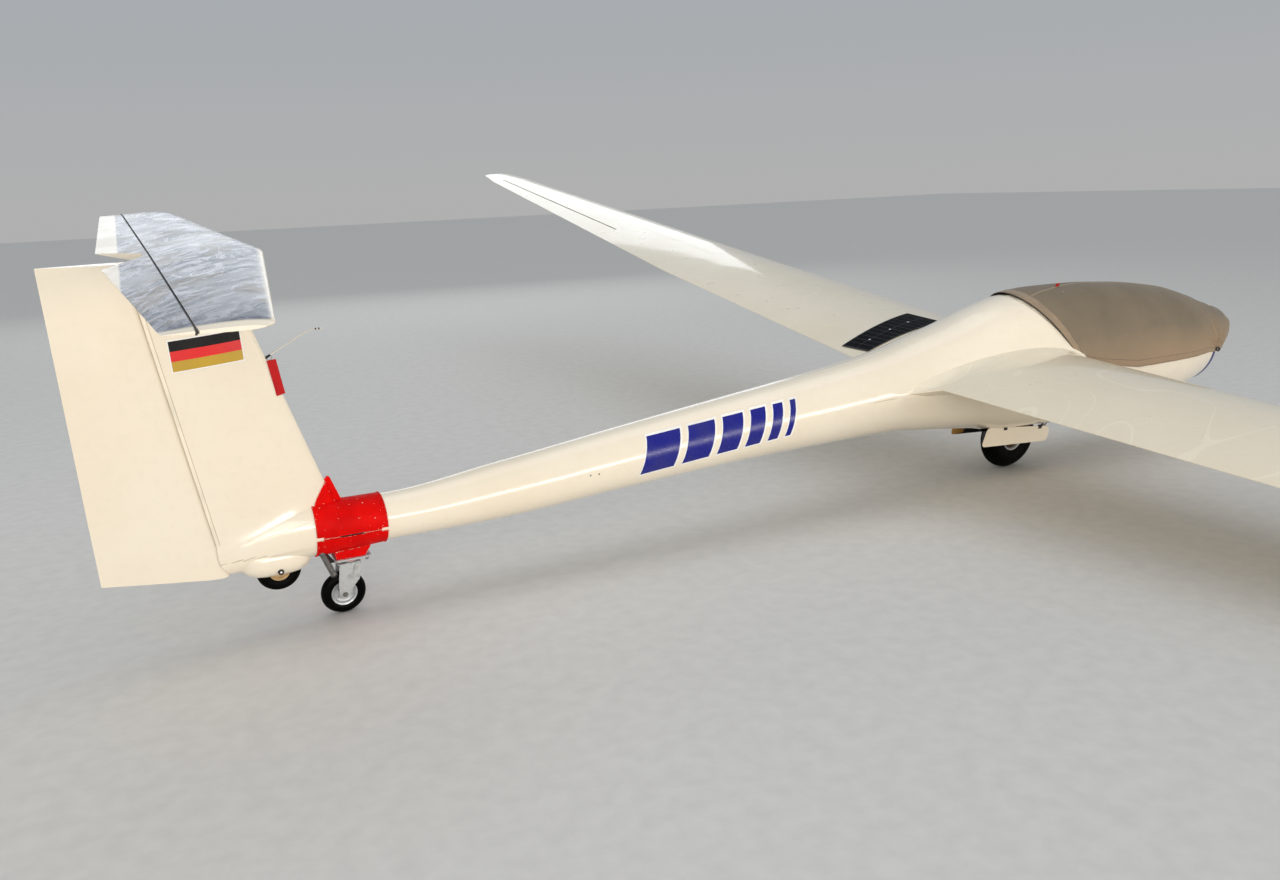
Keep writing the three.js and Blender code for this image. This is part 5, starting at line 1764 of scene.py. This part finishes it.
def cushion():
    even, points, normals = seat_route()
    angles = turns(48)
    across = np.sign(np.cos(angles)) * np.abs(np.cos(angles)) ** 0.35
    up = np.sign(np.sin(angles)) * np.abs(np.sin(angles)) ** 0.6
    groove = 1 - 0.30 * np.exp(-((np.abs(across) * CUSHION_HALF - 62) / 6) ** 2)
    rings = []
    for s, p, n in zip(even, points, normals):
        full = math.sqrt(1 - (1 - min(1, min(s, even[-1] - s) / 26)) ** 2)
        seam = 1 - 0.34 * math.exp(-((s % QUILT - QUILT / 2) / 7) ** 2)
        height = CUSHION_THICK / 2 * (0.04 + full * 0.96)
        lift = CUSHION_THICK / 2 + 2 + up * height * np.where(up > 0, seam * groove, 1)
        rings.append(xyz(p[0] + n[0] * lift, across * (CUSHION_HALF - 8 * (1 - full)), p[1] + n[1] * lift))
    piece = make("seat_cushion", loft(rings), CUSHION, smooth=60)


def belts():
    _, points, normals = seat_route()
    buckle = points[BUCKLE] + normals[BUCKLE] * (CUSHION_THICK + 6)
    ids = np.arange(4, BUCKLE + 1)
    x, z = (points[ids] + normals[ids] * (CUSHION_THICK + 4.5)).T
    up = xyz(normals[ids, 0], 0, normals[ids, 1])
    reach = np.linspace(16, CUSHION_HALF - 6, 30)
    lap_x = buckle[0] - 0.25 * (reach - 16)
    sag = np.interp(lap_x, *points.T) - np.interp(buckle[0], *points.T)
    for name, side in SIDES:
        y = side * np.interp(ids, [4, 60, BUCKLE], [74, 40, 14])
        shoulder = strip_along(xyz(x, y, z), up, BELT_WIDE, 1.6)
        make(f"shoulder_belt_{name}", shoulder, WEBBING, smooth=60)
        lap = xyz(lap_x, side * reach, buckle[1] + sag)
        lap = strip_along(lap, np.tile((0.25, 0, 1.0), (30, 1)), BELT_WIDE, 1.6)
        make(f"lap_belt_{name}", lap, WEBBING, smooth=60)
    tilt = xyz(normals[BUCKLE][0], 0, normals[BUCKLE][1])
    middle = xyz(buckle[0], 0, buckle[1])
    lock = merged(rod(middle - tilt, middle + tilt * 9, 27, 25, 48, 1.5),
                  rod(middle + tilt * 8, middle + tilt * 15, 15, 13, 6, 1.5))
    make("belt_buckle", lock, ALLOY)


PANEL_TOP = np.array([1000.0, 0, 760])
PANEL_LOW = np.array([1070.0, 0, 372])
DIALS = [
    # across, down from the panel's top, radius, turn of the hand in degrees
    (-52, 62, 38, 130), (52, 62, 38, 215), (-52, 152, 38, 20), (52, 152, 38, 90), (0, 232, 30, 300),
    (-88, 232, 26, 45), (88, 232, 26, 160),
]


def dials():
    """Round instruments with rims, marks and hands."""
    down = unit(PANEL_LOW - PANEL_TOP)
    aft = np.array([down[2], 0, -down[0]])
    across = np.array([0, 1.0, 0])
    rims, faces, marks, hands = [], [], [], []

    def ray(angle):
        return across * math.cos(angle) + down * math.sin(angle)

    for y, drop, radius, turn in DIALS:
        c = PANEL_TOP + down * drop + across * y
        rims.append(carve(rod(c + aft * 0.4, c + aft * 9, radius, radius - 1, 48, 1.2),
                          rod(c + aft * 5.5, c + aft * 12, radius - 5, radius - 3.5, 48)))
        faces.append(rod(c + aft * 4.6, c + aft * 5.8, radius - 5.2, sides=48))
        for k, angle in enumerate(turns(12)):
            mark = ray(angle) * radius
            start = 0.74 if k % 3 else 0.66
            marks.append(rod(c + aft * 6 + mark * start, c + aft * 6 + mark * 0.82, 0.8, sides=6))
        hand = ray(math.radians(turn)) * radius
        hands.append(rod(c + aft * 6.6 - hand * 0.16, c + aft * 6.6 + hand * 0.64, 1.5, 0.7, 8))
        hands.append(rod(c + aft * 6, c + aft * 7.6, 3, 2.6, 16))
    for name, shapes, material in (("rims", rims, DIAL_RIM), ("faces", faces, BLACK), ("marks", marks, WHITE),
                                   ("hands", hands, PROBE_PAINT)):
        make(f"dial_{name}", merged(*shapes), material)


cushion()
belts()
dials()

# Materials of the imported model's own pieces that stay in view
NODE_MATERIALS = {
    "canopy_frame": GEL,
    "canopy_glass": GLAZING,
    "seat_pan": GREY_TRIM,
    "instrument_panel": BLACK,
    "control_stick": BLACK,
    "tip_skid_port": TYRE,
    "tip_skid_starboard": TYRE,
    "main_gear_leg": STEEL,
    "tail_axle": STEEL,
}
for node_name, node_material in NODE_MATERIALS.items():
    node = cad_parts[node_name]
    node.data.materials.clear()
    node.data.materials.append(node_material)

# Floor and light
LAMPS = [
    # name, place, target, width, height, power, colour
    ("windows", (-7, -11, 4.2), (-0.6, 0, 0.6), 11, 5, 490, (1, 0.955, 0.90)),
    ("low_fill", (1, -9, 0.9), (0, 0, 0.6), 12, 1.4, 450, (1, 0.93, 0.84)),
    ("overhead", (-1, 1, 9), (-1, 0, 0), 12, 5, 135, (0.98, 0.98, 1)),
    ("far_side", (2, 13, 5), (0, 0, 0.6), 12, 3, 158, (0.93, 0.97, 1)),
]
# height from straight down to straight up, colour
SKY = [(0.0, (0.50, 0.48, 0.46, 1)), (0.5, (0.56, 0.56, 0.56, 1)), (0.58, (0.50, 0.53, 0.56, 1)),
       (0.72, (0.52, 0.56, 0.60, 1)), (1.0, (0.74, 0.78, 0.82, 1))]
SKY_STRENGTH = 0.78
FLOOR_HALF = 60


def lamp_at(name, place, target, width, height, power, color):
    light = bpy.data.lights.new(name, "AREA")
    light.shape = "RECTANGLE"
    light.size = width
    light.size_y = height
    light.energy = power
    light.color = color
    lamp = put(name, light)
    lamp.location = place
    lamp.rotation_euler = (Vector(target) - Vector(place)).to_track_quat("-Z", "Y").to_euler()
    lamp.visible_camera = False
    return lamp


def add_floor():
    mesh = bpy.data.meshes.new("floor")
    corners = [(x * FLOOR_HALF, y * FLOOR_HALF, 0) for x, y in ((-1, -1), (1, -1), (1, 1), (-1, 1))]
    mesh.from_pydata(corners, [], [(0, 1, 2, 3)])
    mesh.materials.append(pale_floor())
    floor = put("floor", mesh)
    return floor


def add_sky():
    """A plain hall that is pale above, with a darker band over the horizon."""
    world = bpy.data.worlds.new("studio")
    bpy.context.scene.world = world
    world.use_nodes = True
    tree = world.node_tree
    direction = tree.nodes.new("ShaderNodeTexCoord").outputs["Generated"]
    height = tree.nodes.new("ShaderNodeSeparateXYZ")
    level = tree.nodes.new("ShaderNodeMapRange")
    level.inputs["From Min"].default_value = -1
    ramp = tree.nodes.new("ShaderNodeValToRGB")
    background = tree.nodes["Background"]
    background.inputs["Strength"].default_value = SKY_STRENGTH
    for source, target in ((direction, height.inputs[0]), (height.outputs["Z"], level.inputs["Value"]),
                           (level.outputs[0], ramp.inputs[0]), (ramp.outputs[0], background.inputs["Color"])):
        tree.links.new(source, target)
    marks = ramp.color_ramp.elements
    while len(marks) < len(SKY):
        marks.new(0.5)
    for mark, (place, color) in zip(marks, SKY):
        mark.position = place
        mark.color = color


def stage():
    floor = add_floor()
    add_sky()
    lamps = {row[0]: lamp_at(*row) for row in LAMPS}
    # The low lamp stands close to the floor, so it lights all but the floor
    spared = bpy.data.collections.new("not_lit_from_low")
    spared.objects.link(floor)
    lamps["low_fill"].light_linking.receiver_collection = spared
    spared.collection_objects[0].light_linking.link_state = "EXCLUDE"
    bpy.context.scene.view_settings.view_transform = "Standard"


stage()
